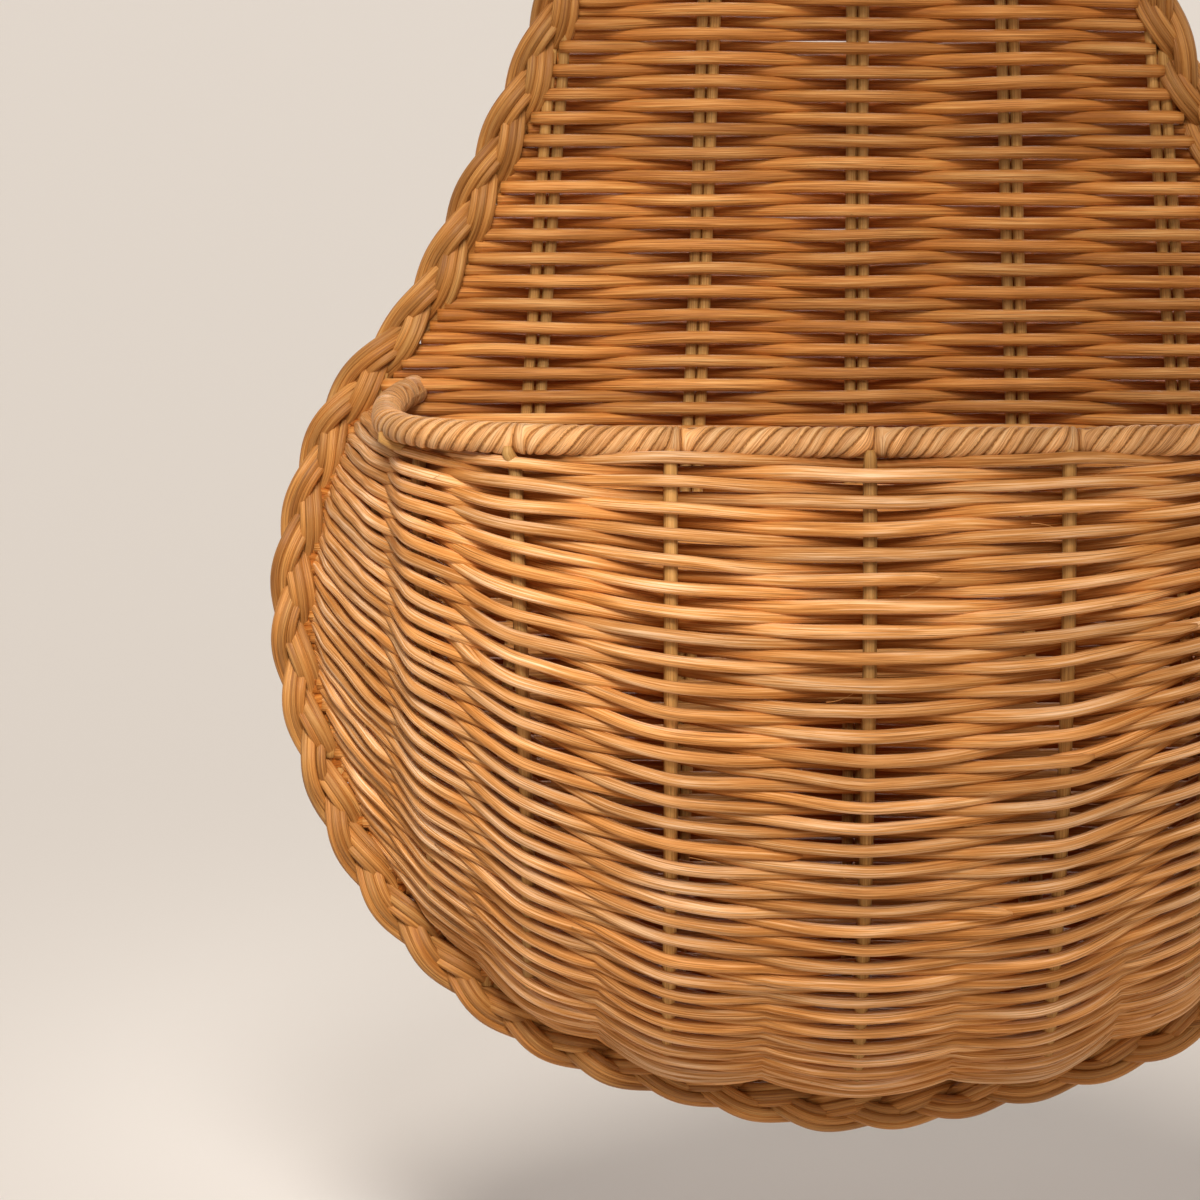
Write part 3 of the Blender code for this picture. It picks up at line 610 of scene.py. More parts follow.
def wrapped_rim(stake_places):
    """The rim's binding: a round section whose radius follows the strips that wind round it.

    A strip's number at a place is (length along - slant * turn round) / strip width, with the turn
    counted from the rim's front upwards. Its whole part names the strip and its fraction goes
    across it: the radius bulges in the middle of each strip and dips between two. Beside each
    stake the strips run straight round for a few millimetres.
    """
    lengths = np.linspace(-RIM_LENGTH, RIM_LENGTH, RIM_RINGS)
    points = smoothed(rim_places(lengths), 30)
    along = unit(np.gradient(points, axis=0))
    first = unit(np.array((0.0, 0.0, 1.0)) - along * along[:, 2:3])
    second = np.cross(along, first)
    turn = np.linspace(-math.pi, math.pi, RIM_SIDES, endpoint=False)[None, :]
    slant = np.full(RIM_RINGS, STRIP_SLANT)
    for stake in stake_places:
        slant -= COLLAR_SHARE * STRIP_SLANT * np.exp(-((lengths - stake - COLLAR_SHIFT) / COLLAR_SPAN) ** 2)
    wander = smooth_noise(lengths, *STRIP_WANDER)
    number = (lengths[:, None] + wander[:, None] - slant[:, None] * turn) / STRIP_WIDTH
    whole = np.floor(number)
    fraction = number - whole
    # each strip's own number from 0 to 1: the fraction of a sine that is made very large
    own = np.modf(np.abs(np.sin(whole * 12.9898) * 43758.5453))[0]
    ridge = 1 - np.abs(2 * fraction - 1) ** STRIP_BULGE_POWER
    tilt = (fraction - 0.5) * (0.4 + 0.6 * own)
    radius = RIM_RADIUS - STRIP_BULGE + STRIP_BULGE * ridge + STRIP_TILT * tilt
    radius = radius + STRIP_UNEVEN * (own - 0.5)
    rings = rings_round(points, first, second, turn + math.pi / 2, radius)
    here = np.arange(RIM_RINGS - 1)
    faces = ring_quads(here, here + 1, RIM_SIDES)
    # the fibres run along a strip, so they go round the rim; one more column closes the map
    fibre_way = np.broadcast_to(turn * RIM_RADIUS, number.shape) * STRIP_FIBRES
    table = np.stack([fibre_way, number], axis=-1)
    table = np.concatenate([table, table[:, :1] + (2 * math.pi * RIM_RADIUS * STRIP_FIBRES, 0)], axis=1)
    table[:, -1, 1] = (lengths + wander - slant * math.pi) / STRIP_WIDTH
    i, j = here[:, None], np.arange(RIM_SIDES)[None, :]
    coords = np.stack([table[i, j], table[i, j + 1], table[i + 1, j + 1], table[i + 1, j]], axis=-2)
    # the second number is the ridge: painted shade darkens the dips between strips, and a slight painted
    # highlight pales their middles
    numbers = np.column_stack([own.ravel(), (2 * ridge - 1).ravel()])
    arrays = rings.reshape(-1, 3), faces, coords.reshape(-1, 2), numbers
    return cap_ends(arrays, RIM_SIDES, RIM_RINGS)


# Materials. Noise has so many cells for each metre along a reed, and for each radian round it.

FIBRE_CELLS = (60.0, 4.4)
SPLIT_CELLS = (50.0, 5.2)
TONE_CELLS = (20.0, 0.6)
FLECK_CELLS = (420.0, 3.0)
NUMBER_CELLS = 91.0  # the cells of noise that the reeds' own numbers are spread over
FIBRE_SHARE, TONE_SHARE = 0.62, 0.38
DARKEST_REED, REED_SPREAD = 0.83, 0.34  # the darkest reed's tone, and how much more the palest has
MARK_STRENGTH, MARK_DARKNESS = 0.55, 0.45
RIB_STRENGTH, RIB_HEIGHT = 0.75, 0.00045
FIBRE_ROUGHNESS, MIDDLE_ROUGHNESS = 0.25, 0.12  # what fibres add to a finish's own, and what comes off it
# By how far a reed stands forward: painted shade gives the backs of the bends a deeper brown, and a slight
# painted highlight pales the crowns
PAINTED_SHADE_TINTS = ((0.0, (0.60, 0.37, 0.12)), (0.5, (0.91, 0.82, 0.64)), (1.0, (1.05, 1.06, 1.09)))
BLACK, WHITE = (0, 0, 0), (1, 1, 1)


def ramp(nodes, stops):
    """A colour ramp from places and colours."""
    made = nodes.new("ShaderNodeValToRGB")
    first, last = made.color_ramp.elements
    first.position, first.color = stops[0][0], (*stops[0][1], 1)
    last.position, last.color = stops[-1][0], (*stops[-1][1], 1)
    for position, colour in stops[1:-1]:
        made.color_ramp.elements.new(position).color = (*colour, 1)
    return made


def rattan(name, dark, middle, light, roughness, gloss, streak=1.0, across=1.0):
    """Bare reed: long fibre streaks, slow changes of tone, dark flecks and fine ribs, with painted shade and
    highlight by how far it stands forward.

    The streaks are noise on (length, cosine of the turn, sine of the turn), so they close round the
    reed, and each reed's number moves them to a place of its own.
    """
    finish = bpy.data.materials.new(name)
    finish.use_nodes = True
    nodes, links = finish.node_tree.nodes, finish.node_tree.links
    shader = nodes["Principled BSDF"]

    def math_node(kind, a, b=None):
        """The result of a Math node on one or two sockets or numbers."""
        node = nodes.new("ShaderNodeMath")
        node.operation = kind
        for socket, value in zip(node.inputs, (a, b)):
            if isinstance(value, (int, float)):
                socket.default_value = value
            elif value is not None:
                links.new(value, socket)
        return node.outputs[0]

    def attribute(kind):
        """One of the mesh's two numbers for each point."""
        node = nodes.new("ShaderNodeAttribute")
        node.attribute_name = kind
        return node.outputs["Fac"]

    layer = nodes.new("ShaderNodeUVMap")
    layer.uv_map = "reed_map"
    split = nodes.new("ShaderNodeSeparateXYZ")
    links.new(layer.outputs["UV"], split.inputs[0])
    number = attribute("reed_number")
    turn = math_node("MULTIPLY", split.outputs["Y"], 2 * math.pi)
    cosine, sine = math_node("COSINE", turn), math_node("SINE", turn)
    shift = math_node("MULTIPLY", number, NUMBER_CELLS)

    def noise(cells, detail, rough):
        """Noise on length, cosine and sine."""
        length_scale, round_scale = cells[0], cells[1] * across
        vector = nodes.new("ShaderNodeCombineXYZ")
        along = math_node("MULTIPLY", split.outputs["X"], length_scale)
        links.new(math_node("ADD", along, shift), vector.inputs[0])
        links.new(math_node("MULTIPLY", cosine, round_scale), vector.inputs[1])
        links.new(math_node("MULTIPLY", sine, round_scale), vector.inputs[2])
        made = nodes.new("ShaderNodeTexNoise")
        made.inputs["Scale"].default_value = 1.0
        made.inputs["Detail"].default_value = detail
        made.inputs["Roughness"].default_value = rough
        links.new(vector.outputs[0], made.inputs["Vector"])
        return made.outputs["Fac"]

    fibres = noise(FIBRE_CELLS, 3.0, 0.55)
    splits = noise(SPLIT_CELLS, 2.0, 0.5)
    tone = noise(TONE_CELLS, 2.0, 0.5)
    flecks = noise(FLECK_CELLS, 2.0, 0.5)

    # tone of the fibres and of the whole reed
    colour = ramp(nodes, ((0.36, dark), (0.50, middle), (0.66, light)))
    fibre_part = math_node("MULTIPLY", fibres, FIBRE_SHARE)
    links.new(math_node("ADD", fibre_part, math_node("MULTIPLY", tone, TONE_SHARE)), colour.inputs[0])
    between = math_node("ADD", math_node("MULTIPLY", number, REED_SPREAD), DARKEST_REED)
    tinted = nodes.new("ShaderNodeVectorMath")
    tinted.operation = "SCALE"
    links.new(colour.outputs[0], tinted.inputs[0])
    links.new(between, tinted.inputs["Scale"])

    # painted shade and highlight, by how far the reed stands forward
    painted_shade_ramp = ramp(nodes, PAINTED_SHADE_TINTS)
    forward = attribute("reed_depth")
    links.new(math_node("ADD", math_node("MULTIPLY", forward, 0.5), 0.5), painted_shade_ramp.inputs[0])
    with_painted_shade = nodes.new("ShaderNodeVectorMath")
    with_painted_shade.operation = "MULTIPLY"
    links.new(tinted.outputs[0], with_painted_shade.inputs[0])
    links.new(painted_shade_ramp.outputs[0], with_painted_shade.inputs[1])

    # flecks and splits
    spot = ramp(nodes, ((0.70, BLACK), (0.80, WHITE)))
    links.new(flecks, spot.inputs[0])
    line = ramp(nodes, ((0.56, BLACK), (0.66, WHITE)))
    links.new(splits, line.inputs[0])
    spots = math_node("MULTIPLY", spot.outputs[0], MARK_STRENGTH)
    marks = math_node("MAXIMUM", spots, math_node("MULTIPLY", line.outputs[0], MARK_STRENGTH * streak))
    mixed = nodes.new("ShaderNodeMix")
    mixed.data_type = "RGBA"
    links.new(marks, mixed.inputs["Factor"])
    links.new(with_painted_shade.outputs[0], mixed.inputs[6])
    mixed.inputs[7].default_value = (*[value * MARK_DARKNESS for value in dark], 1)
    links.new(mixed.outputs[2], shader.inputs["Base Color"])

    # gloss and ribs
    fibre_rough = math_node("MULTIPLY", fibres, FIBRE_ROUGHNESS)
    links.new(math_node("ADD", fibre_rough, roughness - MIDDLE_ROUGHNESS), shader.inputs["Roughness"])
    shader.inputs["Specular IOR Level"].default_value = gloss
    bump = nodes.new("ShaderNodeBump")
    bump.inputs["Strength"].default_value = RIB_STRENGTH * streak
    bump.inputs["Distance"].default_value = RIB_HEIGHT
    links.new(fibres, bump.inputs["Height"])
    links.new(bump.outputs[0], shader.inputs["Normal"])
    return finish


HONEY = rattan(
    "pocket_reed_finish", (0.42, 0.155, 0.028), (0.66, 0.310, 0.098), (0.90, 0.60, 0.36),
    roughness=0.62, gloss=0.22,
)
AMBER = rattan(
    "back_reed_finish", (0.35, 0.122, 0.020), (0.56, 0.227, 0.053), (0.76, 0.41, 0.145),
    roughness=0.57, gloss=0.28,
)
PLAIT = rattan(
    "plait_reed_finish", (0.32, 0.125, 0.026), (0.49, 0.225, 0.062), (0.66, 0.37, 0.135),
    roughness=0.52, gloss=0.35,
)
OLIVE = rattan(
    "rod_finish", (0.38, 0.190, 0.054), (0.51, 0.290, 0.100), (0.64, 0.40, 0.17),
    roughness=0.60, gloss=0.3, streak=0.7,
)
CANE = rattan(
    "cane_skin_finish", (0.46, 0.190, 0.052), (0.70, 0.350, 0.130), (0.86, 0.54, 0.27),
    roughness=0.50, gloss=0.35, streak=1.3, across=0.62,
)


# Back panel


def pair_spacing(heights):
    """How far apart the pairs of rods stand: in proportion more with each metre down."""
    return BACK_STAKE_SPACING + BACK_STAKE_FAN * (RIM_HEIGHT - heights)


def back_reed(row, height, half, wander):
    """One reed of the back, from border to border: the woven wave between the pairs, flat over each pair."""
    x = np.linspace(-half, half, max(int(2 * half / BACK_REED_STEP), 8))
    pair = x / pair_spacing(height)
    reach = (BACK_ROD + BACK_REED) / 2
    wave = np.clip(woven_wave(pair + row) * BACK_FLATTENING, -1.0, 1.0)
    offset = reach * wave + smooth_noise(x, *BACK_DEPTH_WANDER)
    offset = np.where(np.abs(pair) > BACK_PAIRS_EACH_SIDE + 0.5, 0, offset)
    fade = np.clip((half - np.abs(x)) / BACK_END_EASE, 0, 1)
    offset = offset * (BACK_END_SHARE + (1 - BACK_END_SHARE) * fade)
    level = height + offset * sight_rise(height) + BACK_ROW_WANDER * wander(row, x)
    level = level + smooth_noise(x, *BACK_LEVEL_WANDER)
    radius = BACK_REED / 2 * (1 + np.clip(draw.normal(0, BACK_UNEVEN), *BACK_UNEVEN_LIMITS))
    radii = radius * (1 + smooth_noise(x, *BACK_THICKNESS_WANDER))
    return rod(place(x, PANEL_MIDDLE + offset, level), radii, BACK_REED_SIDES, forward=offset / reach)


def back_weave():
    """The back's reeds, one more than the courses have at each edge, in one piece for each woven node."""
    line = side_line(BACK_REED_INSET)
    wander = wander_field(2 * BACK_COURSES, *BACK_ROW_WANDER_SPANS)
    parts = np.array_split(np.arange(BACK_COURSES), BACK_WEAVERS)
    weavers = np.repeat(np.arange(1, BACK_WEAVERS + 1), [len(part) for part in parts])
    groups = {}
    for row in range(-1, 2 * BACK_COURSES + 1):
        height = BACK_BOTTOM + BACK_PITCH * (row + 0.5)
        half = np.interp(height, line[:, 1], line[:, 0], left=0, right=0)
        if half < BACK_SHORTEST_HALF:
            continue
        number = weavers[min(max(row // 2, 0), BACK_COURSES - 1)]
        groups.setdefault(number, []).append(back_reed(row, height, half, wander))
    for number, tubes in groups.items():
        name, node = f"back_reeds_{number:02d}", f"back_weaver_{number:02d}"
        mesh_piece(name, joined(tubes), AMBER, [node])


def back_rods():
    """The back's stakes: pairs of rods that fan out downwards, as long as they lie inside the border."""
    number = 0
    outer = side_line(BACK_ROD_INSET)
    heights = np.linspace(0, PANEL_HEIGHT, 900)
    limit = np.interp(heights, outer[:, 1], outer[:, 0], left=0, right=0)
    half_pair = (BACK_ROD + BACK_ROD_GAP) / 2
    for pair in range(-BACK_PAIRS_EACH_SIDE, BACK_PAIRS_EACH_SIDE + 1):
        for side in (-1, 1):
            number += 1
            across = pair * pair_spacing(heights) + side * half_pair
            inside = np.nonzero(np.abs(across) + BACK_ROD / 2 < limit)[0]
            kept = np.linspace(inside[0], inside[-1], BACK_ROD_STEPS).astype(int)
            wander = smooth_noise(heights[kept], *BACK_ROD_WANDER)
            points = place(across[kept] + wander, PANEL_MIDDLE, heights[kept])
            name, node = f"back_rod_{number:02d}", f"back_stake_{number:02d}"
            mesh_piece(name, rod(points, BACK_ROD / 2, BACK_ROD_SIDES), OLIVE, [node])


# Pocket weave

pocket_wander = wander_field(POCKET_ROWS, *POCKET_ROW_WANDER_SPANS)


def tucked(points, side):
    """Points that carry a row's end on into the plait: a quadratic curve that starts out straight on."""
    end = points[-1 if side > 0 else 0]
    before = points[-3 if side > 0 else 2]
    on = unit(end - before)
    distance = np.hypot(BORDER_LINE[:, 0] - end[0], BORDER_LINE[:, 1] - HANG_HEIGHT - end[2])
    goal = BORDER_LINE[np.argmin(distance)]
    goal = end + TUCK_SHARE * (place(goal[0], PANEL_MIDDLE - TUCK_BACK, goal[1]) - end)
    bend = end + on * TUCK_BEND
    t = np.linspace(0, 1, TUCK_STEPS)[1:, None]
    return (1 - t) ** 2 * end + 2 * t * (1 - t) * bend + t**2 * goal


def pocket_reed(row, start=-1.0, stop=1.0, lift_start=0.0, lift_stop=0.0):
    """One reed of the pocket: its row, moved in and out by the woven wave, with a crest at each stake.

    The wave is shallower on the side walls and towards the bottom, and fades before the border. An
    end inside the row is lifted along a bell curve and tapers off.
    """
    level = (row + 0.5) / POCKET_ROWS
    half = half_length(level)
    shares = np.linspace(start, stop, max(int(half * (stop - start) / POCKET_REED_STEP), 12))
    points, normals, up, spacing = row_frame(level, shares)
    lengths = shares * half
    number = np.abs(stake_number(lengths))
    on_side = eased(number - FRONT_STAKES)
    raised = eased((level - WEAVE_LEVEL) / WEAVE_LEVELS)
    reach = (POCKET_ROD + POCKET_REED) / 2 + WEAVE_ROOM
    reach = reach * (1 - (1 - SIDE_EASE) * on_side) * (FLOOR_EASE + (1 - FLOOR_EASE) * raised)
    weave = woven_wave(np.minimum(number, FRONT_STAKES + 1) + row)
    near_end = np.clip((1 - np.abs(shares)) * half / WEAVE_END_EASE, 0, 1)
    woven = reach * weave * near_end + smooth_noise(lengths, *POCKET_DEPTH_WANDER)
    offset = woven + lobes(level, lengths)
    rise = SIGHT_SHARE * woven * sight_rise(points[:, 2].mean() + HANG_HEIGHT) * (1 - on_side)
    rise = rise + POCKET_ROW_WANDER * pocket_wander(row, lengths)
    rise = rise + smooth_noise(lengths, *POCKET_LEVEL_WANDER)
    for lift, end in ((lift_start, lengths[0]), (lift_stop, lengths[-1])):
        offset += lift * np.exp(-((lengths - end) / REED_LIFT_SPAN) ** 2)
    points = points + normals * offset[:, None] + up * rise[:, None]
    radius = POCKET_REED / 2 * (1 + draw.normal(0, REED_UNEVEN))
    swell = np.clip(spacing / EVEN_SPACING, *REED_SWELL)
    radii = radius * swell * (1 + smooth_noise(lengths, *POCKET_THICKNESS_WANDER))
    forward = woven / reach
    left = tucked(points, -1)[::-1] if start == -1.0 else points[:0]
    right = tucked(points, 1) if stop == 1.0 else points[:0]
    if start > -1.0:
        radii[:3] *= REED_TIP_SHARES[::-1]
    if stop < 1.0:
        radii[-3:] *= REED_TIP_SHARES
    added = len(left), len(right)
    points = np.concatenate([left, points, right])
    # the tucked ends get -1, the deepest painted shade, where they go in under the plait
    radii, forward = np.pad(radii, added, mode="edge"), np.pad(forward, added, constant_values=-1.0)
    return rod(points, radii, POCKET_REED_SIDES, forward=forward)


def stray_fibre(row):
    """A thin fibre split off a reed: it lifts and curls with the square of its length, and tapers."""
    share, length = draw.uniform(*FIBRE_PLACES), draw.uniform(*FIBRE_LENGTHS)
    level = (row + 0.5) / POCKET_ROWS
    steps = np.linspace(0, 1, FIBRE_STEPS)
    points, normals, up, _ = row_frame(level, share + steps * length / half_length(level))
    lift = FIBRE_START + draw.uniform(*FIBRE_LIFTS) * steps**2
    curl = draw.uniform(-FIBRE_CURL, FIBRE_CURL) * steps**2
    points = points + normals * lift[:, None] + up * curl[:, None]
    return rod(points, FIBRE_RADIUS * (1.2 - steps), FIBRE_SIDES)


def reed_joints():
    """The rows in which a second reed takes over, and the share of the half row where it does."""
    shares = np.linspace(-1, 1, 240)
    rows = np.array([row_places((row + 0.5) / POCKET_ROWS, shares) for row in range(POCKET_ROWS)])
    joints = {}
    for across, height in REED_ENDS:
        off = np.hypot(rows[:, :, 0] - across, rows[:, :, 2] + HANG_HEIGHT - height)
        row, spot = np.unravel_index(np.argmin(off), off.shape)
        joints[int(row)] = shares[spot]
    return joints


def pocket_weave():
    """The pocket's reeds and stray fibres, in one piece for each woven node."""
    joints = reed_joints()
    for number, courses in enumerate(np.array_split(np.arange(POCKET_COURSES), POCKET_WEAVERS), start=1):
        tubes = []
        for row in range(2 * courses[0], 2 * courses[-1] + 2):
            if row in joints:
                middle = joints[row]
                tubes.append(pocket_reed(row, stop=middle + REED_LAP_SHARE, lift_stop=REED_END_LIFT))
                tubes.append(pocket_reed(row, start=middle - REED_LAP_SHARE, lift_start=REED_START_LIFT))
            else:
                tubes.append(pocket_reed(row))
        for _ in range(FIBRES_PER_WEAVER):
            tubes.append(stray_fibre(draw.uniform(2 * courses[0], 2 * courses[-1] + 1)))
        name, node = f"pocket_reeds_{number:02d}", f"pocket_weaver_{number:02d}"
        mesh_piece(name, joined(tubes), HONEY, [node])


# Pocket stakes


def stake_start(length):
    """The lowest level whose row is long enough to reach past the stake."""
    levels = np.linspace(0, 1, POCKET_ROWS + 1)
    longest = np.array([half_length(level) for level in levels])
    return levels[np.argmax(longest > length + STAKE_END_ROOM / 2)]


def stake_line(stake, side):
    """A stake's line up the surface: on every row it stands at the same length from the middle."""
    length = STAKE_LENGTHS[abs(stake)]
    points = []
    for level in np.linspace(stake_start(length), 1.0, STAKE_STEPS):
        here, normals, _, _ = row_frame(level, side * length / half_length(level) + NEARBY)
        out = lobes(level, np.array([side * length]))[0] - STAKE_SINK * (abs(stake) > FRONT_STAKES)
        points.append(here[1] + normals[1] * out)
    return np.array(points)


def rim_seat(top, side):
    """The point of the rim's middle line nearest to a stake's top."""
    rim = rim_places(np.linspace(0, RIM_LENGTH, 500)) * (side, 1, 1)
    return rim[np.argmin(np.linalg.norm(rim - top, axis=1))]


def seat_length(stake, side, seat):
    """A seat's length along the rim: by its place across on the front, else by the rim's nearest point."""
    if abs(stake) <= FRONT_STAKES:
        return side * np.interp(abs(seat[0]), RIM_LINE[:, 0], RIM_LENGTHS)
    return side * RIM_LENGTHS[np.argmin(np.linalg.norm(RIM_LINE * (side, 1, 1) - seat, axis=1))]


def stake_head(stake, side, top, seat):
    """A stake's last points: before the rim's lower half on the front, straight into it in the side walls."""
    if abs(stake) > FRONT_STAKES:
        return [top + share * (seat - top) for share in SIDE_HEAD_SHARES] + [seat]
    _, normals, up, _ = row_frame(1.0, side * STAKE_LENGTHS[abs(stake)] / TOP_ROW_LENGTH + NEARBY)
    out = unit(normals[1] * (1, 1, 0))
    return [
        seat + out * (RIM_RADIUS * forward) - up[1] * (RIM_RADIUS * down)
        for forward, down in FRONT_HEAD_SHARES
    ]


def pocket_rods():
    """The pocket's stakes, from left to right. Returns their lengths along the rim, for its binding."""
    tops = []
    for stake in range(-STAKE_COUNT, STAKE_COUNT + 1):
        side = -1 if stake < 0 else 1
        points = stake_line(stake, side)
        seat = rim_seat(points[-1], side)
        tops.append(seat_length(stake, side, seat))
        head = stake_head(stake, side, points[-1], seat)
        points = smoothed(np.concatenate([points[:-1], head]), 1)
        radii = np.full(len(points), POCKET_ROD / 2)
        radii[-3:] *= HEAD_TIP_SHARES
        number = stake + STAKE_COUNT + 1
        name, node = f"pocket_rod_{number:02d}", f"pocket_stake_{number:02d}"
        mesh_piece(name, rod(points, radii, POCKET_ROD_SIDES), OLIVE, [node])
    return tops


# Plaited border


def plait():
    """Three strands of three reeds.

    Each strand swings across as the sine of its wave and climbs as the sine of twice the wave, a
    third of a wave apart from the next. Its reeds lie side by side, square to the strand.
    """
    closed_line = np.concatenate([BORDER_LINE, BORDER_LINE[:1]])
    around = lengths_along(closed_line)[-1]
    middle = at_length(closed_line, np.linspace(0, around, PLAIT_STEPS, endpoint=False))
    middle = smoothed_ring(middle, 4)
    out = outward(middle)
    wave = np.linspace(0, 2 * math.pi * PLAIT_WAVES, PLAIT_STEPS, endpoint=False)
    for strand in range(PLAIT_STRANDS):
        turn = wave + 2 * math.pi * strand / PLAIT_STRANDS
        swing = PLAIT_SWING * np.sin(turn)
        line = middle + out * swing[:, None]
        depth = PANEL_MIDDLE + PLAIT_RISE * np.sin(2 * turn)
        across = outward(line)
        tubes = []
        for shift, lift in PLAIT_REEDS:
            wander = periodic_noise(PLAIT_STEPS, *PLAIT_SIDE_WANDER)
            reed = line + across * (shift + wander)[:, None]
            deep = depth + lift + periodic_noise(PLAIT_STEPS, *PLAIT_DEPTH_WANDER)
            radii = PLAIT_REED / 2 * (1 + periodic_noise(PLAIT_STEPS, *PLAIT_THICKNESS_WANDER))
            tubes.append(tube(place(reed[:, 0], deep, reed[:, 1]), radii, PLAIT_SIDES, closed=True))
        name, node = f"plait_strand_{strand + 1}", f"border_strand_{strand + 1}"
        mesh_piece(name, joined(tubes), PLAIT, [node])


# Hanging loop


def loop_line():
    """The loop's middle line: half a circle, down the left leg, across on the bar and up the right leg.

    The legs lie behind the plait, and the bar in front of the weave.
    """
    turn = np.linspace(0, math.pi, 40)
    arch_heights = LOOP_TOP - LOOP_HALF_WIDTH + LOOP_HALF_WIDTH * np.sin(turn)
    arch = place(LOOP_HALF_WIDTH * np.cos(turn), LOOP_BACK, arch_heights)
    front = PANEL_MIDDLE + LOOP_BAR_FORWARD
    depths = np.array((LOOP_BACK, LOOP_BACK, LOOP_BACK + LOOP_CORNER_DEPTH, front))
    heights = np.array((LOOP_SHOULDER, LOOP_FOOT + LOOP_CORNER, LOOP_FOOT, LOOP_FOOT))
    left = place(-LOOP_HALF_WIDTH, depths, heights)
    right = place(LOOP_HALF_WIDTH, depths, heights)[::-1]
    return np.concatenate([arch, left, right, arch[:1]])


def hanging_loop():
    """Two thin reeds that wind round the loop's middle line as a double helix."""
    line = loop_line()
    around = lengths_along(line)[-1]
    line = at_length(line, np.linspace(0, around, LOOP_STEPS, endpoint=False))
    line = smoothed_ring(line, 12)
    along = unit(np.roll(line, -1, axis=0) - np.roll(line, 1, axis=0))
    side = unit(np.cross(along, line - line.mean(axis=0)))
    other = np.cross(along, side)
    twist = np.linspace(0, 2 * math.pi * LOOP_TWISTS, LOOP_STEPS, endpoint=False)
    tubes = []
    for start in (0.0, math.pi):
        shift = side * np.cos(twist + start)[:, None] + other * np.sin(twist + start)[:, None]
        reed = line + shift * LOOP_REED * LOOP_SPREAD_SHARE
        tubes.append(tube(reed, LOOP_REED / 2, LOOP_SIDES, closed=True))
    mesh_piece("hanging_loop_reeds", joined(tubes), CANE, ["hanging_loop"])


back_weave()
back_rods()
pocket_weave()
stake_tops = pocket_rods()
plait()
mesh_piece("rim_wrap", wrapped_rim(stake_tops), CANE, ["rim_binding", "rim_core"])
hanging_loop()

# Floor

FLOOR_HALF_WIDTH = 30.0
FLOOR_DROP = 0.06  # below the basket, which hangs
low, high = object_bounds()
corners = np.array(((-1, -1), (1, -1), (1, 1), (-1, 1))) * FLOOR_HALF_WIDTH
floor_mesh = bpy.data.meshes.new("floor")
floor_mesh.from_pydata([(x, y, low[2] - FLOOR_DROP) for x, y in corners], [], [(0, 1, 2, 3)])
floor = bpy.data.objects.new("floor", floor_mesh)
bpy.context.scene.collection.objects.link(floor)
pale = bpy.data.materials.new("pale_floor")
pale.use_nodes = True
pale_shader = pale.node_tree.nodes["Principled BSDF"]
pale_shader.inputs["Base Color"].default_value = (0.80, 0.76, 0.72, 1)
pale_shader.inputs["Roughness"].default_value = 0.9
floor_mesh.materials.append(pale)

# Lamps


def placed_lamp(name, lamp, location, backwards):
    """Puts a lamp at its place, with its back in a direction."""
    holder = bpy.data.objects.new(name, lamp)
    bpy.context.scene.collection.objects.link(holder)
    holder.location = location
    holder.rotation_mode = "QUATERNION"
    holder.rotation_quaternion = backwards.to_track_quat("Z", "Y")


def sun(name, azimuth, elevation, strength, softness, colour):
    """A far lamp by where it stands: degrees to the right of the front, and degrees up."""
    lamp = bpy.data.lights.new(name, "SUN")
    lamp.energy, lamp.angle, lamp.color = strength, math.radians(softness), colour
    azimuth, elevation = math.radians(azimuth), math.radians(elevation)
    level = math.cos(elevation)
    towards = Vector((math.sin(azimuth) * level, -math.cos(azimuth) * level, math.sin(elevation)))
    placed_lamp(name, lamp, towards * 2, towards)


def beam(name, location, target, power, width, softness, colour):
    """A lamp close by whose beam is so many degrees wide and fades towards its edge."""
    lamp = bpy.data.lights.new(name, "SPOT")
    lamp.energy, lamp.shadow_soft_size, lamp.color = power, softness, colour
    lamp.spot_size, lamp.spot_blend = math.radians(width), 1.0
    placed_lamp(name, lamp, location, Vector(location) - Vector(target))


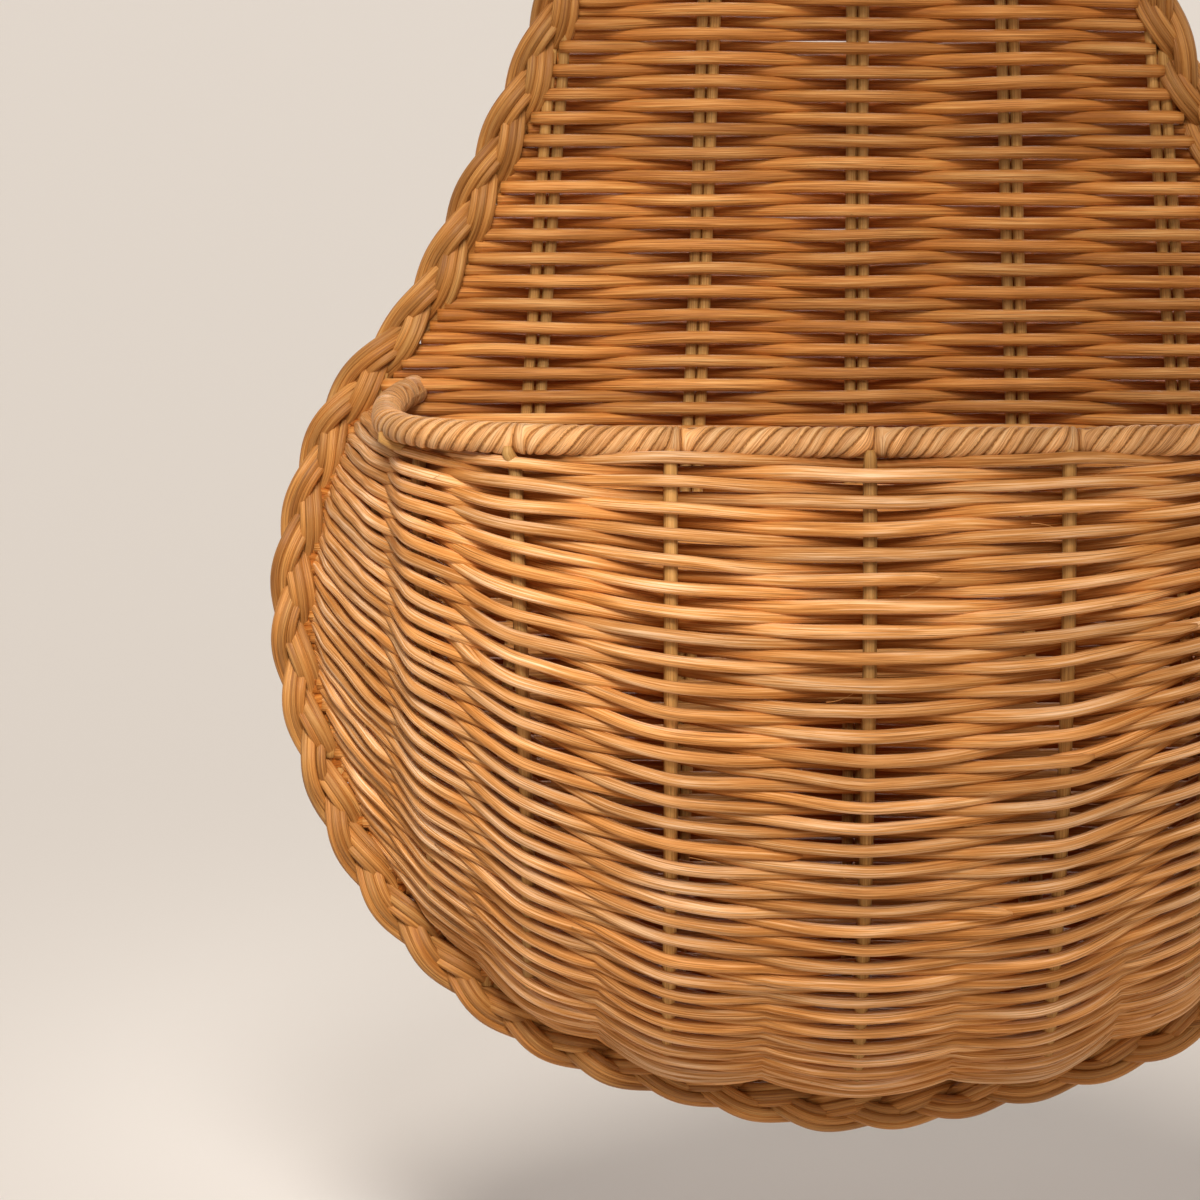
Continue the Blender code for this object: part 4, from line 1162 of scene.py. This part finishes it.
sun("key", azimuth=-6, elevation=42, strength=1.75, softness=14, colour=(1.0, 0.93, 0.84))
sun("fill", azimuth=40, elevation=10, strength=0.25, softness=50, colour=(1.0, 0.95, 0.90))
sun("back_fill", azimuth=165, elevation=25, strength=1.5, softness=50, colour=(1.0, 0.97, 0.95))
beam(
    "near_lamp", location=(-0.08, -0.94, 0.25), target=(-0.110, -0.10, -0.198),
    power=52.0, width=16, softness=0.12, colour=(1.0, 0.98, 0.95),
)

# World: one soft light all round, and a pale backdrop for the camera, mirrors and glass

world = bpy.data.worlds.new("soft_room")
world.use_nodes = True
bpy.context.scene.world = world
nodes, links = world.node_tree.nodes, world.node_tree.links
background = nodes["Background"]
background.inputs["Color"].default_value = (1.0, 0.88, 0.77, 1)
background.inputs["Strength"].default_value = 0.24
seen = nodes.new("ShaderNodeBackground")
seen.inputs["Color"].default_value = (0.82, 0.78, 0.74, 1)
seen.inputs["Strength"].default_value = 1.0
path = nodes.new("ShaderNodeLightPath")
mirrored = nodes.new("ShaderNodeMath")
looked_at = nodes.new("ShaderNodeMath")
mirrored.operation = looked_at.operation = "MAXIMUM"
links.new(path.outputs["Is Glossy Ray"], mirrored.inputs[0])
links.new(path.outputs["Is Transmission Ray"], mirrored.inputs[1])
links.new(path.outputs["Is Camera Ray"], looked_at.inputs[0])
links.new(mirrored.outputs[0], looked_at.inputs[1])
choice = nodes.new("ShaderNodeMixShader")
links.new(looked_at.outputs[0], choice.inputs[0])
links.new(background.outputs[0], choice.inputs[1])
links.new(seen.outputs[0], choice.inputs[2])
links.new(choice.outputs[0], nodes["World Output"].inputs["Surface"])

# Camera

aim = Vector((AIM_ACROSS, -PANEL_MIDDLE, AIM_HEIGHT - HANG_HEIGHT))
camera = bpy.data.cameras.new("camera")
camera.sensor_width = SENSOR_WIDTH
camera.lens = SENSOR_WIDTH * DISTANCE / VIEW_WIDTH
camera.dof.use_dof = False
camera_object = bpy.data.objects.new("camera", camera)
bpy.context.scene.collection.objects.link(camera_object)
camera_object.location = aim + DISTANCE * Vector((0, -math.cos(ELEVATION), math.sin(ELEVATION)))
camera_object.rotation_mode = "QUATERNION"
camera_object.rotation_quaternion = (aim - camera_object.location).to_track_quat("-Z", "Y")
bpy.context.scene.camera = camera_object
bpy.context.scene.view_settings.view_transform = "Standard"
